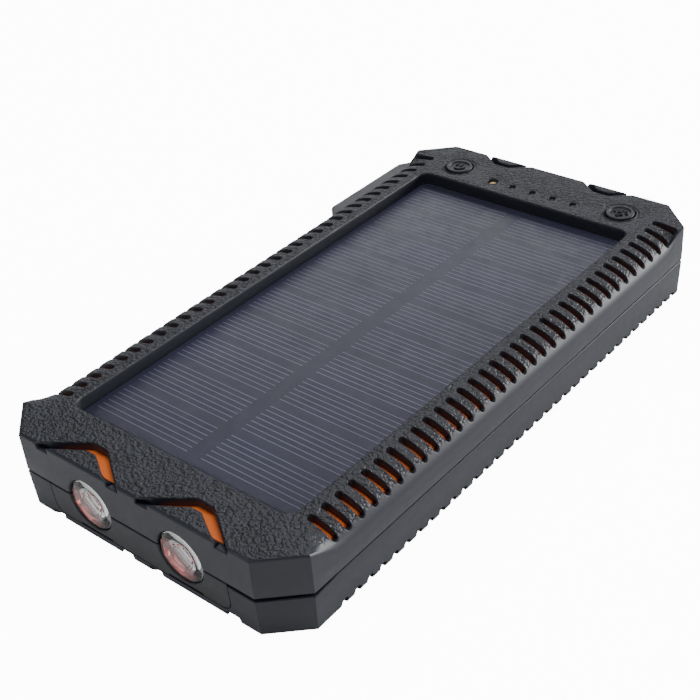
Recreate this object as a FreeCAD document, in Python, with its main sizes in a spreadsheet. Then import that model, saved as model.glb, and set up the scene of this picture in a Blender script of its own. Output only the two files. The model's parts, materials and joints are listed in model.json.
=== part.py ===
import FreeCAD, Part
import math
import os
import re
import Sketcher

# Solar phone charger (power bank) with a twin-lens torch, as a parametric assembly.
# Frame: +X right, +Y towards the socket end, +Z up; the origin is the middle of the underside,
# so the torch end is at -Y. All sizes are millimetres.

SIZES = {
    # outside form
    "body_length": 143.0,
    "body_width": 75.0,
    "body_height": 18.0,
    "corner_across": 7.5,
    "corner_along": 7.0,
    "corner_pull": 0.414,
    "seam_gap": 0.3,
    "shoulder_start": 29.6,
    "shoulder_radius": 12.5,
    "shoulder_length": 125.0,
    "side_bulge": 2.4,
    "bulge_front": 30.0,
    "bulge_rear": 61.5,
    "bulge_inset": 2.2,
    # walls
    "cover_wall": 1.2,
    "housing_fit": 0.05,
    "housing_wall": 1.2,
    "lip_inset": 0.65,
    "lip_rise": 0.7,
    "lip_play": 0.05,
    # slots along the shoulders
    "slot_inner": 30.8,
    "slot_outer": 37.0,
    "slot_width": 1.5,
    "slot_pitch": 3.62,
    "slot_count": 34,
    "slot_first": -57.35,
    "slot_depth": 3.6,
    # chevrons on both ends
    "chevron_front_offset": 13.8,
    "chevron_front_reach": 11.4,
    "chevron_front_rise": 6.3,
    "chevron_rear_offset": 14.0,
    "chevron_rear_reach": 6.8,
    "chevron_rear_rise": 3.0,
    "chevron_front_leg": 3.0,
    "chevron_rear_leg": 1.9,
    "chevron_taper": 0.27,
    "chevron_land": 2.0,
    # solar window and its stack
    "window_half": 28.6,
    "window_front": -59.4,
    "window_rear": 55.4,
    "window_corner": 2.5,
    "skirt_wall": 1.0,
    "ledge_width": 2.0,
    "ledge_top": 14.4,
    "ledge_depth": 1.0,
    "panel_play": 0.2,
    "substrate_thick": 0.6,
    "cell_thick": 0.2,
    "glazing_thick": 0.6,
    "cell_pitch": 10.95,
    "cell_width": 24.6,
    "cell_height": 10.6,
    "cell_rows": 10,
    "cell_first": -55.4,
    "column_offset": 14.1,
    # torch
    "lens_offset": 12.0,
    "lens_height": 8.7,
    "lens_bore": 5.6,
    "lens_half": 5.43,
    "lens_proud": 0.6,
    "lens_crown": 18.8,
    "reflector_depth": 6.0,
    "reflector_throat": 1.9,
    "chip_size": 2.2,
    "torch_board_width": 34.0,
    "torch_board_height": 10.0,
    "panel_half": 23.4,
    "panel_foot": 1.9,
    "panel_gap": 0.15,
    # battery
    "battery_width": 62.0,
    "battery_front": -55.0,
    "battery_length": 98.0,
    "battery_thick": 5.0,
    "battery_floor": 2.6,
    "tape_thick": 0.5,
    "tape_inset": 10.0,
    "foam_width": 40.0,
    "foam_inset": 8.0,
    "guard_width": 26.0,
    "guard_height": 8.0,
    "guard_gap": 0.3,
    # electronics
    "board_half": 26.8,
    "board_front": 47.0,
    "board_rear": 69.0,
    "board_under": 11.9,
    "board_thick": 1.2,
    "component_row": 51.5,
    "coil_half": 3.2,
    "coil_height": 3.4,
    "coil_first": 15.0,
    "coil_pitch": 7.5,
    "control_first": -22.0,
    "control_pitch": 8.0,
    "control_width": 5.0,
    "control_depth": 4.0,
    "control_thick": 1.2,
    "usb_width": 13.1,
    "usb_height": 5.7,
    "usb_depth": 14.0,
    "usb_wall": 0.4,
    "micro_width": 7.5,
    "micro_height": 2.9,
    "micro_depth": 5.6,
    "port_face": 69.9,
    "usb_left": -13.5,
    "usb_right": 3.5,
    "micro_place": 17.5,
    # port bay and its cover
    "bay_half": 23.0,
    "bay_foot": 5.2,
    "bay_top": 12.8,
    "flap_half": 22.8,
    "flap_thick": 1.1,
    "flap_top": 12.6,
    "flap_axis_y": 70.9,
    "flap_axis_z": 5.95,
    "flap_pin": 0.3,
    "flap_bore": 0.34,
    # buttons
    "button_offset": 22.6,
    "button_row": 62.0,
    "button_half": 3.27,
    "button_bore": 3.45,
    "button_proud": 0.35,
    "button_flange": 4.2,
    "button_travel": 0.3,
    "switch_size": 4.5,
    # indicator row
    "lamp_row": 60.0,
    "lamp_first": -11.2,
    "lamp_pitch": 5.6,
    "lamp_half": 0.75,
    "lamp_first_half": 1.2,
    # case screws
    "screw_across": 29.6,
    "screw_along": 66.2,
    "screw_head": 1.9,
    "screw_head_height": 0.9,
    "screw_shank": 0.95,
    "screw_length": 11.0,
    "boss_half": 2.4,
    # lighter bay in the side bulge
    "track_front": 33.5,
    "track_rear": 58.0,
    "track_foot": 3.4,
    "track_mouth": 4.2,
    "lighter_place": 51.5,
    "cup_size": 10.0,
    "cup_depth": 5.8,
    "cup_well": 4.2,
    "cup_face": 38.2,
    "slide_length": 11.8,
    # wires
    "lead_half": 0.5,
}

HALF_WIDTH = "(body_width/2)"
HALF_LENGTH = "(body_length/2)"
MIDDLE = "(body_height/2)"

doc = FreeCAD.newDocument("solar_phone_charger")
sheet = doc.addObject("Spreadsheet::Sheet", "Sizes")
nodes = []


def fill_sheet():
    """Write each driving size beside its name and give the cell that name."""
    for row, (name, number) in enumerate(SIZES.items(), start=1):
        sheet.set(f"A{row}", name)
        sheet.set(f"B{row}", str(number))
        sheet.setAlias(f"B{row}", name)
    doc.recompute()


def size(name):
    """A size as a number, read back from the sheet."""
    return float(sheet.get(name))


def linked(formula):
    """A formula whose size names point at the sheet."""
    return re.sub(r"[a-z_]{3,}", lambda word: f"Sizes.{word.group()}" if word.group() in SIZES
                  else word.group(), str(formula))


def tie(item, prop, formula):
    """Bind a property to a formula of sheet sizes."""
    item.setExpression(prop, linked(formula))


def place(item, x, y, z, turn=None):
    """Put an object's own origin at a place given by formulas."""
    item.Placement = FreeCAD.Placement(FreeCAD.Vector(), turn or FreeCAD.Rotation())
    for axis, formula in zip("xyz", (x, y, z)):
        tie(item, f"Placement.Base.{axis}", formula)
    return item


def node(item, label):
    """Name a finished sub-part and list it for export."""
    item.Label = label
    nodes.append((label, item))
    return item


# ---- building blocks -------------------------------------------------------------------------

ALONG_X = FreeCAD.Rotation(FreeCAD.Vector(0, 1, 0), 90)
ALONG_Y = FreeCAD.Rotation(FreeCAD.Vector(1, 0, 0), -90)


def box(name, span_x, span_y, span_z):
    """A block between two formulas along each axis."""
    item = doc.addObject("Part::Box", name)
    for prop, (low, high) in zip(("Length", "Width", "Height"), (span_x, span_y, span_z)):
        tie(item, prop, f"({high}) - ({low})")
    return place(item, span_x[0], span_y[0], span_z[0])


def about(middle, length):
    """The two ends of a length centred on a place."""
    return (f"({middle}) - ({length})/2", f"({middle}) + ({length})/2")


def rod(name, radius, length, x, y, z, turn=None):
    """A cylinder that starts at a place and runs along Z, or along the turned axis."""
    item = doc.addObject("Part::Cylinder", name)
    tie(item, "Radius", radius)
    tie(item, "Height", length)
    return place(item, x, y, z, turn)


def fused(name, items):
    """Several shapes made one."""
    item = doc.addObject("Part::MultiFuse", name)
    item.Shapes = items
    return item


def cut(name, base, tools):
    """A base with its tools taken away."""
    item = doc.addObject("Part::Cut", name)
    item.Base = base
    item.Tool = tools[0] if len(tools) == 1 else fused(f"{name}Tools", tools)
    return item


def common(name, one, two):
    """What two shapes share."""
    item = doc.addObject("Part::Common", name)
    item.Base = one
    item.Tool = two
    return item


def mirrored(name, source, normal, base_z="0"):
    """A copy reflected in the plane through (0, 0, base_z) with the given normal."""
    item = doc.addObject("Part::Mirroring", name)
    item.Source = source
    item.Normal = FreeCAD.Vector(*normal)
    item.Base = FreeCAD.Vector(0, 0, 0)
    tie(item, "Base.z", base_z)
    return item


def plane_of(body, role):
    """One of a body's own origin planes or axes."""
    return next(part for part in body.Origin.OriginFeatures if part.Role == role)


def polygon(body, name, corners, height="0"):
    """A closed sketch on a body's XY plane whose corners are held by formulas of the sheet."""
    sketch = body.newObject("Sketcher::SketchObject", name)
    sketch.AttachmentSupport = [(plane_of(body, "XY_Plane"), "")]
    sketch.MapMode = "FlatFace"
    tie(sketch, "AttachmentOffset.Base.z", height)
    count = len(corners)
    ring = [FreeCAD.Rotation(FreeCAD.Vector(0, 0, 1), 360.0 * step / count)
            .multVec(FreeCAD.Vector(10, 0, 0)) for step in range(count)]
    for step in range(count):
        sketch.addGeometry(Part.LineSegment(ring[step], ring[(step + 1) % count]), False)
    for step in range(count):
        sketch.addConstraint(Sketcher.Constraint("Coincident", step, 2, (step + 1) % count, 1))
    for step, corner in enumerate(corners):
        for direction, formula in zip(("DistanceX", "DistanceY"), corner):
            index = sketch.addConstraint(Sketcher.Constraint(direction, -1, 1, step, 1, 5.0))
            sketch.setExpression(f"Constraints[{index}]", linked(formula))
    return sketch


def padded(name, corners, low, high):
    """A body padded from a polygon between two heights."""
    body = doc.addObject("PartDesign::Body", name)
    pad = body.newObject("PartDesign::Pad", f"{name}Pad")
    pad.Profile = polygon(body, f"{name}Outline", corners, low)
    tie(pad, "Length", f"({high}) - ({low})")
    body.Tip = pad
    return body


def tube(points, radius, bend):
    """A round lead along straight runs joined by tangent arcs of one bend radius."""
    edges = []
    start = points[0]
    for before, corner, after in zip(points, points[1:], points[2:]):
        toward = (before - corner).normalize()
        away = (after - corner).normalize()
        half_angle = toward.getAngle(away) / 2
        bisector = (toward + away).normalize()
        setback = bend / math.tan(half_angle)
        middle = corner + bisector * (bend / math.sin(half_angle) - bend)
        entry = corner + toward * setback
        leave = corner + away * setback
        edges.append(Part.LineSegment(start, entry).toShape())
        edges.append(Part.Arc(entry, middle, leave).toShape())
        start = leave
    edges.append(Part.LineSegment(start, points[-1]).toShape())
    ring = Part.makeCircle(radius, points[0], points[1] - points[0])
    return Part.Wire(edges).makePipeShell([Part.Wire(ring)], True, False)


def leads(label, routes, bend):
    """Several leads of one diameter as a sub-part."""
    item = doc.addObject("Part::Feature", label)
    half = size("lead_half")
    item.Shape = Part.makeCompound([tube([FreeCAD.Vector(*point) for point in route], half, bend)
                                    for route in routes])
    return node(item, label)


def repeated(body, feature, count, pitch, role="Y_Axis"):
    """Repeat a body's feature along one of its axes."""
    pattern = body.newObject("PartDesign::LinearPattern", f"{feature.Name}Row")
    pattern.Originals = [feature]
    pattern.Direction = (plane_of(body, role), [""])
    tie(pattern, "Length", f"(({count}) - 1) * ({pitch})")
    tie(pattern, "Occurrences", count)
    body.Tip = pattern
    return pattern


def rounded(name, corners, low, high, radius):
    """A padded outline with its upright edges rounded."""
    body = padded(name, corners, low, high)
    doc.recompute()
    pad = body.Tip
    upright = [f"Edge{index}" for index, edge in enumerate(pad.Shape.Edges, start=1)
               if abs(edge.tangentAt(edge.FirstParameter).z) > 0.99]
    fillet = body.newObject("PartDesign::Fillet", f"{name}Corners")
    fillet.Base = (pad, upright)
    tie(fillet, "Radius", radius)
    body.Tip = fillet
    return body


def rectangle(x_span, y_span):
    """The four corners between two spans."""
    return [(x_span[0], y_span[0]), (x_span[1], y_span[0]), (x_span[1], y_span[1]), (x_span[0], y_span[1])]


# ---- the case form and what is cut through it ------------------------------------------------

EVERYWHERE = (f"-{HALF_WIDTH} - 10", f"{HALF_WIDTH} + 10")
ALL_LENGTH = (f"-{HALF_LENGTH} - 10", f"{HALF_LENGTH} + 10")


def octagon(inset):
    """Corners of the plan outline, moved inwards by an inset."""
    side = f"({HALF_WIDTH} - ({inset}))"
    end = f"({HALF_LENGTH} - ({inset}))"
    side_end = f"({HALF_LENGTH} - corner_along - corner_pull*({inset}))"
    end_side = f"({HALF_WIDTH} - corner_across - corner_pull*({inset}))"
    return [(side, f"-{side_end}"), (side, side_end), (end_side, end), (f"-{end_side}", end),
            (f"-{side}", side_end), (f"-{side}", f"-{side_end}"), (f"-{end_side}", f"-{end}"),
            (end_side, f"-{end}")]


def form(name, inset):
    """The whole case form moved inwards by an inset, with a rolled shoulder along each upper edge."""
    slab = padded(f"{name}Slab", octagon(inset), inset, f"body_height - ({inset})")
    run = f"(shoulder_length + 2*({inset}))"
    rise = "body_height - shoulder_radius"
    edge = box(f"{name}Edge", ("shoulder_start", "body_width"), about("0", run), (rise, "body_height + 1"))
    roll = rod(f"{name}Roll", f"shoulder_radius - ({inset})", f"{run} + 2", "shoulder_start",
               f"-{run}/2 - 1", rise, ALONG_Y)
    upper_right = cut(f"{name}UpperRight", edge, [roll])
    upper_left = mirrored(f"{name}UpperLeft", upper_right, (1, 0, 0))
    return cut(name, slab, [upper_right, upper_left])


def bulge():
    """The low swelling on the left side that makes room for the lighter."""
    root = f"-({HALF_WIDTH} - 1)"
    face = f"-({HALF_WIDTH} + side_bulge)"
    corners = [(root, "bulge_front - 1"), (face, "bulge_front + side_bulge"),
               (face, "bulge_rear - side_bulge"), (root, "bulge_rear + 1")]
    return padded("SideBulge", corners, "bulge_inset", "body_height - bulge_inset")


def chevron(name, offset, reach, rise, leg, toward_rear):
    """An arch-shaped groove tool on one end of the top face."""
    sign = "" if toward_rear else "-"
    drop = f"({leg} * {rise} / ({reach} - chevron_land))"
    inner_land = f"(chevron_land - chevron_taper * {leg})"
    outer = [(reach, -1), (reach, 0), ("chevron_land", rise)]
    inner = [(inner_land, f"{rise} - {drop}"), (f"({reach} - {leg})", 0), (f"({reach} - {leg})", -1)]

    def at(side, across, along):
        return (f"{offset} {side} ({across})", f"{sign}({HALF_LENGTH} - ({along}))")

    ring = [at("-", *point) for point in outer] + [at("+", *point) for point in reversed(outer)] \
        + [at("+", *point) for point in reversed(inner)] + [at("-", *point) for point in inner]
    return padded(name, ring, "body_height - cover_wall - 0.1", "body_height + 1")


def chevrons():
    """All four grooves of the top face; the underside has the same ones mirrored."""
    front = chevron("FrontChevron", "chevron_front_offset", "chevron_front_reach",
                    "chevron_front_rise", "chevron_front_leg", False)
    rear = chevron("RearChevron", "chevron_rear_offset", "chevron_rear_reach",
                   "chevron_rear_rise", "chevron_rear_leg", True)
    right = fused("ChevronsRight", [front, rear])
    return fused("Chevrons", [right, mirrored("ChevronsLeft", right, (1, 0, 0))])


def slot_pair(body, height):
    """A sketch of the first slot on each side, with round ends."""
    sketch = body.newObject("Sketcher::SketchObject", f"{body.Name}SlotSketch")
    sketch.AttachmentSupport = [(plane_of(body, "XY_Plane"), "")]
    sketch.MapMode = "FlatFace"
    tie(sketch, "AttachmentOffset.Base.z", height)
    half = size("slot_width") / 2
    row = size("slot_first")
    up = FreeCAD.Vector(0, 0, 1)
    for sign, word in ((1, ""), (-1, "-")):
        ends = sorted([sign * (size("slot_inner") + half), sign * (size("slot_outer") - half)])
        left, right = (FreeCAD.Vector(end, row, 0) for end in ends)
        below, above = FreeCAD.Vector(0, -half, 0), FreeCAD.Vector(0, half, 0)
        first = sketch.GeometryCount
        sketch.addGeometry(Part.LineSegment(left + below, right + below), False)
        sketch.addGeometry(Part.ArcOfCircle(Part.Circle(right, up, half), -math.pi / 2, math.pi / 2), False)
        sketch.addGeometry(Part.LineSegment(right + above, left + above), False)
        sketch.addGeometry(Part.ArcOfCircle(Part.Circle(left, up, half), math.pi / 2, 3 * math.pi / 2), False)
        for step in range(4):
            sketch.addConstraint(Sketcher.Constraint("Tangent", first + step, 2, first + (step + 1) % 4, 1))
        reaches = ["slot_inner + slot_width/2", "slot_outer - slot_width/2"]
        near, far = reaches if sign > 0 else reaches[::-1]
        for arc, reach, centre in ((first + 3, near, left), (first + 1, far, right)):
            index = sketch.addConstraint(Sketcher.Constraint("Radius", arc, half))
            sketch.setExpression(f"Constraints[{index}]", linked("slot_width/2"))
            for kind, formula, value in (("DistanceX", f"{word}({reach})", centre.x),
                                         ("DistanceY", "slot_first", row)):
                index = sketch.addConstraint(Sketcher.Constraint(kind, -1, 1, arc, 3, value))
                sketch.setExpression(f"Constraints[{index}]", linked(formula))
    return sketch


def slotted(label, blank, height, upward):
    """A cover blank with the two rows of slots pocketed through its shoulders."""
    body = doc.addObject("PartDesign::Body", f"{label}_body")
    body.BaseFeature = blank
    doc.recompute()
    pocket = body.newObject("PartDesign::Pocket", f"{label}Slot")
    pocket.Profile = slot_pair(body, height)
    pocket.Reversed = upward
    tie(pocket, "Length", "slot_depth")
    repeated(body, pocket, "slot_count", "slot_pitch")
    return node(body, label)


def lens_bores(radius):
    """The two round openings through the front wall."""
    name = radius.replace("_", "").title()
    return [rod(f"{name}{side}", radius, 6, f"{word}lens_offset", f"-{HALF_LENGTH} - 3", "lens_height", ALONG_Y)
            for side, word in (("Right", ""), ("Left", "-"))]


def button_bores(name):
    """Two round openings for the buttons, right through the top."""
    return [rod(f"{name}{side}", "button_bore", 6, f"{word}button_offset", "button_row",
                "body_height - 4") for side, word in (("Right", ""), ("Left", "-"))]


def lamp_rods(name, low, length, play):
    """Five upright round pieces at the indicator places, the first one larger."""
    rods = []
    for step in range(5):
        radius = "lamp_first_half" if step == 0 else "lamp_half"
        rods.append(rod(f"{name}{step + 1}", f"{radius} + ({play})", length,
                        f"lamp_first + {step}*lamp_pitch", "lamp_row", low))
    return rods


def screw_places():
    """Signs and formulas of the four case screws."""
    return [(f"{across}screw_across", f"{along}screw_along") for across in ("", "-") for along in ("", "-")]


def screw_rods(name, radius, low, length):
    """One upright cylinder at each case screw."""
    return [rod(f"{name}{index}", radius, length, x, y, low)
            for index, (x, y) in enumerate(screw_places(), start=1)]


def lighter_openings():
    """The sliding cover's track in the bulge and the pocket behind it."""
    face = f"-({HALF_WIDTH} + side_bulge)"
    run = ("track_front", "track_rear")
    track = box("LighterTrack", (f"{face} + 0.7", "-(cup_face + 0.1)"), run,
                ("track_foot", "body_height - track_foot"))
    mouth = box("LighterMouth", (f"{face} - 1", f"{face} + 0.8"), run,
                ("track_mouth", "body_height - track_mouth"))
    pocket = box("LighterPocket", ("-(cup_face + 0.15)", "-(cup_face - 4)"),
                 about("lighter_place", "cup_size + 0.1"), about(MIDDLE, "cup_size + 0.1"))
    return [track, mouth, pocket]


# ---- covers and housing ----------------------------------------------------------------------

def half_box(name, low, high):
    """A block that takes in the whole plan between two heights."""
    return box(name, EVERYWHERE, ALL_LENGTH, (low, high))


def build_covers():
    """The two black covers that wrap the housing, and the torch panel between them."""
    cavity = form("Cavity", "cover_wall")
    walls = cut("CoverWalls", fused("CoverForm", [form("Outer", "0"), bulge()]), [cavity])
    window_x = ("-window_half", "window_half")
    window_y = ("window_front", "window_rear")
    window = rounded("Window", rectangle(window_x, window_y), "ledge_top - 1", "body_height + 1",
                     "window_corner")
    skirt = rounded("Skirt", rectangle(("-window_half - skirt_wall", "window_half + skirt_wall"),
                                       ("window_front - skirt_wall", "window_rear + skirt_wall")),
                    "ledge_top + 0.05", "body_height - 0.5", "window_corner + skirt_wall")
    grooves = chevrons()
    bay = box("BayMouth", ("-bay_half", "bay_half"), (f"{HALF_LENGTH} - 3", f"{HALF_LENGTH} + 1"),
              ("bay_foot", "bay_top"))
    bores = lens_bores("lens_bore")
    lighter = lighter_openings()

    upper_side = half_box("UpperSide", f"{MIDDLE} + seam_gap/2", "body_height + 5")
    upper = fused("UpperBlank", [common("UpperWalls", walls, upper_side), skirt])
    rebate = common("Rebate", form("RebateForm", "lip_inset - lip_play"),
                    half_box("RebateSide", 0, f"{MIDDLE} + seam_gap/2 + lip_rise + lip_play"))
    upper = cut("UpperCover", upper, [window, grooves, rebate, bay] + bores + lighter
                + button_bores("CoverButton") + lamp_rods("CoverLamp", "body_height - 4", 6, 0))
    slotted("upper_shell", upper, "body_height", False)

    lower_side = half_box("LowerSide", -5, f"{MIDDLE} - seam_gap/2")
    lip = common("Lip", cut("LipRing", form("LipForm", "lip_inset"), [cavity]),
                 half_box("LipSide", f"{MIDDLE} - seam_gap/2 - 1", f"{MIDDLE} + seam_gap/2 + lip_rise"))
    panel_opening = box("PanelOpening", ("-panel_half - panel_gap", "panel_half + panel_gap"),
                        (f"-{HALF_LENGTH} - 1", f"-{HALF_LENGTH} + cover_wall + 0.01"),
                        ("panel_foot - panel_gap", "body_height"))
    pin_bore = rod("FlapPinBore", "flap_pin", "2*(bay_half + 1)", "-bay_half - 1", "flap_axis_y",
                   "flap_axis_z", ALONG_X)
    lower = fused("LowerBlank", [common("LowerWalls", walls, lower_side), lip])
    under = mirrored("ChevronsUnder", grooves, (0, 0, 1), MIDDLE)
    lower = cut("LowerCover", lower, [under, bay, panel_opening, pin_bore] + bores + lighter
                + screw_rods("HeadBore", "screw_head + 0.15", -1, 3))
    slotted("lower_shell", lower, "0", True)

    slab = torch_slab()
    node(cut("TorchPanel", slab, bores + panel_slits()), "torch_panel")


def torch_slab():
    """The blank of the smooth plate round the lower halves of the two lenses."""
    return box("TorchPanelSlab", ("-panel_half", "panel_half"),
               (f"-{HALF_LENGTH}", f"-{HALF_LENGTH} + cover_wall"), ("panel_foot", f"{MIDDLE} - seam_gap/2"))


def panel_slits():
    """The narrow relief under each lens."""
    return [box(f"Slit{side}", about(f"{word}lens_offset", 9), (f"-{HALF_LENGTH} - 1", f"-{HALF_LENGTH} + 0.5"),
                ("panel_foot - 1", "panel_foot + 0.3")) for side, word in (("Right", ""), ("Left", "-"))]


def build_housing():
    """The coloured housing inside the covers, in two halves."""
    outer = form("HousingOuter", "cover_wall + housing_fit")
    inner = form("HousingInner", "cover_wall + housing_fit + housing_wall")
    walls = cut("HousingWalls", outer, [inner])
    bay = box("HousingBay", ("-bay_half + 1.1", "bay_half - 1.1"), (f"{HALF_LENGTH} - 4", f"{HALF_LENGTH} - 1"),
              ("bay_foot + 0.4", "bay_top - 0.4"))
    side = box("HousingSide", (f"-{HALF_WIDTH}", f"-{HALF_WIDTH} + 4"),
               about("lighter_place", "cup_size + 0.4"),
               about(MIDDLE, "cup_size + 0.4"))
    bores = lens_bores("lens_half - 0.13")
    ledge_half = "(window_half + skirt_wall + 1.3)"
    ledge = box("LedgeBlock", (f"-{ledge_half}", ledge_half),
                ("window_front - skirt_wall - 1.3", "window_rear + skirt_wall + 1.3"),
                ("ledge_top - ledge_depth", "body_height - cover_wall - housing_fit - 0.5"))
    beyond = "skirt_wall + housing_fit"
    step = rounded("LedgeStep", rectangle((f"-(window_half + {beyond})", f"window_half + {beyond}"),
                                          (f"window_front - ({beyond})", f"window_rear + {beyond}")),
                   "ledge_top", "body_height + 1", "window_corner + skirt_wall")
    opening = box("LedgeOpening", ("-window_half + ledge_width", "window_half - ledge_width"),
                  ("window_front + ledge_width", "window_rear - ledge_width"), (0, "body_height"))
    roof = "body_height - cover_wall - housing_fit - 0.5"

    upper_side = half_box("HousingUpperSide", MIDDLE, "body_height")
    upper = fused("HousingUpperBlank", [common("HousingUpperWalls", walls, upper_side), ledge]
                  + screw_rods("UpperBoss", "boss_half", MIDDLE, f"{roof} - {MIDDLE}"))
    upper = cut("HousingUpper", upper, [step, opening, bay, side] + bores + button_bores("HousingButton")
                + lamp_rods("HousingLamp", "body_height - 4", 6, "0.05")
                + screw_rods("UpperThread", "screw_shank", MIDDLE, "screw_length - 6"))
    node(upper, "upper_housing")

    lower_side = half_box("HousingLowerSide", 0, MIDDLE)
    floor = "cover_wall + housing_fit + 0.5"
    lower = fused("HousingLowerBlank", [common("HousingLowerWalls", walls, lower_side)]
                  + screw_rods("LowerBoss", "boss_half", floor, f"{MIDDLE} - ({floor})"))
    lower = cut("HousingLower", lower, [bay, side] + bores
                + screw_rods("LowerClearance", "screw_shank + 0.1", 0, MIDDLE))
    node(lower, "lower_housing")


def build_screws():
    """Four self-tapping case screws, driven from below."""
    seat = "cover_wall + housing_fit"
    heads = screw_rods("ScrewHead", "screw_head", f"{seat} - screw_head_height", "screw_head_height")
    shanks = screw_rods("ScrewShank", "screw_shank", f"{seat} - 0.1", "screw_length")
    sockets = screw_rods("ScrewRecess", 0.7, f"{seat} - screw_head_height - 0.1", 0.6)
    node(cut("CaseScrews", fused("ScrewBlanks", heads + shanks), sockets), "case_screws")


# ---- solar panel -----------------------------------------------------------------------------

def build_solar():
    """Backing board, cells in two columns, clear glazing and the foam that holds them up."""
    x_span = ("-window_half + panel_play", "window_half - panel_play")
    y_span = ("window_front + panel_play", "window_rear - panel_play")
    cell_low = "ledge_top + substrate_thick"
    cell_high = f"{cell_low} + cell_thick"
    node(rounded("SolarBoard", rectangle(x_span, y_span), "ledge_top", cell_low, "window_corner - panel_play"),
         "solar_board")
    body = doc.addObject("PartDesign::Body", "SolarCells")
    pad = body.newObject("PartDesign::Pad", "SolarCellsPad")
    pad.Profile = cell_pair(body, cell_low)
    tie(pad, "Length", "cell_thick")
    body.Tip = pad
    doc.recompute()
    repeated(body, pad, "cell_rows", "cell_pitch")
    node(body, "solar_cells")
    node(rounded("SolarGlazing", rectangle(x_span, y_span), cell_high, f"{cell_high} + glazing_thick",
                 "window_corner - panel_play"), "solar_glazing")


def cell_pair(body, height):
    """The first cell of both columns, as two rectangles held by the sheet."""
    sketch = body.newObject("Sketcher::SketchObject", "CellSketch")
    sketch.AttachmentSupport = [(plane_of(body, "XY_Plane"), "")]
    sketch.MapMode = "FlatFace"
    tie(sketch, "AttachmentOffset.Base.z", height)
    for word in ("-", ""):
        corners = rectangle(about(f"{word}column_offset", "cell_width"),
                            ("cell_first", "cell_first + cell_height"))
        first = sketch.GeometryCount
        ring = [FreeCAD.Vector(x, y, 0) for x, y in ((0, 0), (4, 0), (4, 4), (0, 4))]
        for step in range(4):
            sketch.addGeometry(Part.LineSegment(ring[step], ring[(step + 1) % 4]), False)
        for step in range(4):
            sketch.addConstraint(Sketcher.Constraint("Coincident", first + step, 2, first + (step + 1) % 4, 1))
        for step, corner in enumerate(corners):
            for direction, formula in zip(("DistanceX", "DistanceY"), corner):
                index = sketch.addConstraint(Sketcher.Constraint(direction, -1, 1, first + step, 1, 5.0))
                sketch.setExpression(f"Constraints[{index}]", linked(formula))
    return sketch


# ---- torch -----------------------------------------------------------------------------------

def build_torch():
    """Per side a lens, a reflector and a light chip, on one small board."""
    front = f"-{HALF_LENGTH}"
    seat = f"({front} + cover_wall)"
    board_face = f"({seat} + reflector_depth + 0.1)"
    for side, word in (("right", ""), ("left", "-")):
        across = f"{word}lens_offset"
        blank = rod(f"{side}LensBlank", "lens_half", "cover_wall + lens_proud", across,
                    f"{front} - lens_proud", "lens_height", ALONG_Y)
        ball = doc.addObject("Part::Sphere", f"{side}LensCrown")
        tie(ball, "Radius", "lens_crown")
        place(ball, across, f"{front} - lens_proud + lens_crown", "lens_height")
        node(common(f"{side}Lens", blank, ball), f"{side}_lens")

        cup = doc.addObject("Part::Cone", f"{side}CupOuter")
        tie(cup, "Radius1", "lens_half - 0.23")
        tie(cup, "Radius2", "lens_half - 1.8")
        tie(cup, "Height", "reflector_depth")
        place(cup, across, seat, "lens_height", ALONG_Y)
        bowl = doc.addObject("Part::Cone", f"{side}CupInner")
        tie(bowl, "Radius1", "lens_half - 0.6")
        tie(bowl, "Radius2", "reflector_throat")
        tie(bowl, "Height", "reflector_depth + 0.02")
        place(bowl, across, f"{seat} - 0.01", "lens_height", ALONG_Y)
        node(cut(f"{side}Reflector", cup, [bowl]), f"{side}_reflector")

        chip = box(f"{side}Chip", about(across, "chip_size"), (f"{board_face} - 1", board_face),
                   about("lens_height", "chip_size"))
        node(chip, f"{side}_torch_led")
    board = box("TorchBoard", about(0, "torch_board_width"), (board_face, f"{board_face} + 1"),
                about("lens_height", "torch_board_height"))
    node(board, "torch_board")


# ---- battery ---------------------------------------------------------------------------------

def build_battery():
    """Two stacked pouch cells with tape between, foam above and the protection board behind."""
    across = about(0, "battery_width")
    along = ("battery_front", "battery_front + battery_length")
    second = "battery_floor + battery_thick + tape_thick"
    top = f"{second} + battery_thick"
    for label, low in (("lower_battery_cell", "battery_floor"), ("upper_battery_cell", second)):
        corners = rectangle(across, along)
        node(rounded(label.title().replace("_", ""), corners, low, f"{low} + battery_thick", 2), label)
    back = "battery_front + battery_length"
    node(box("BatteryTape", about(0, "battery_width - 2*tape_inset"),
             ("battery_front + tape_inset", f"{back} - tape_inset"),
             ("battery_floor + battery_thick", second)), "battery_tape")
    node(box("SupportFoam", about(0, "foam_width"), ("battery_front + foam_inset", f"{back} - foam_inset"),
             (top, "ledge_top")), "support_foam")
    node(box("ProtectionBoard", about(0, "guard_width"), (f"{back} + guard_gap", f"{back} + guard_gap + 1"),
             about(8, "guard_height")), "protection_board")


# ---- electronics -----------------------------------------------------------------------------

BOARD_TOP = "(board_under + board_thick)"


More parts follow.
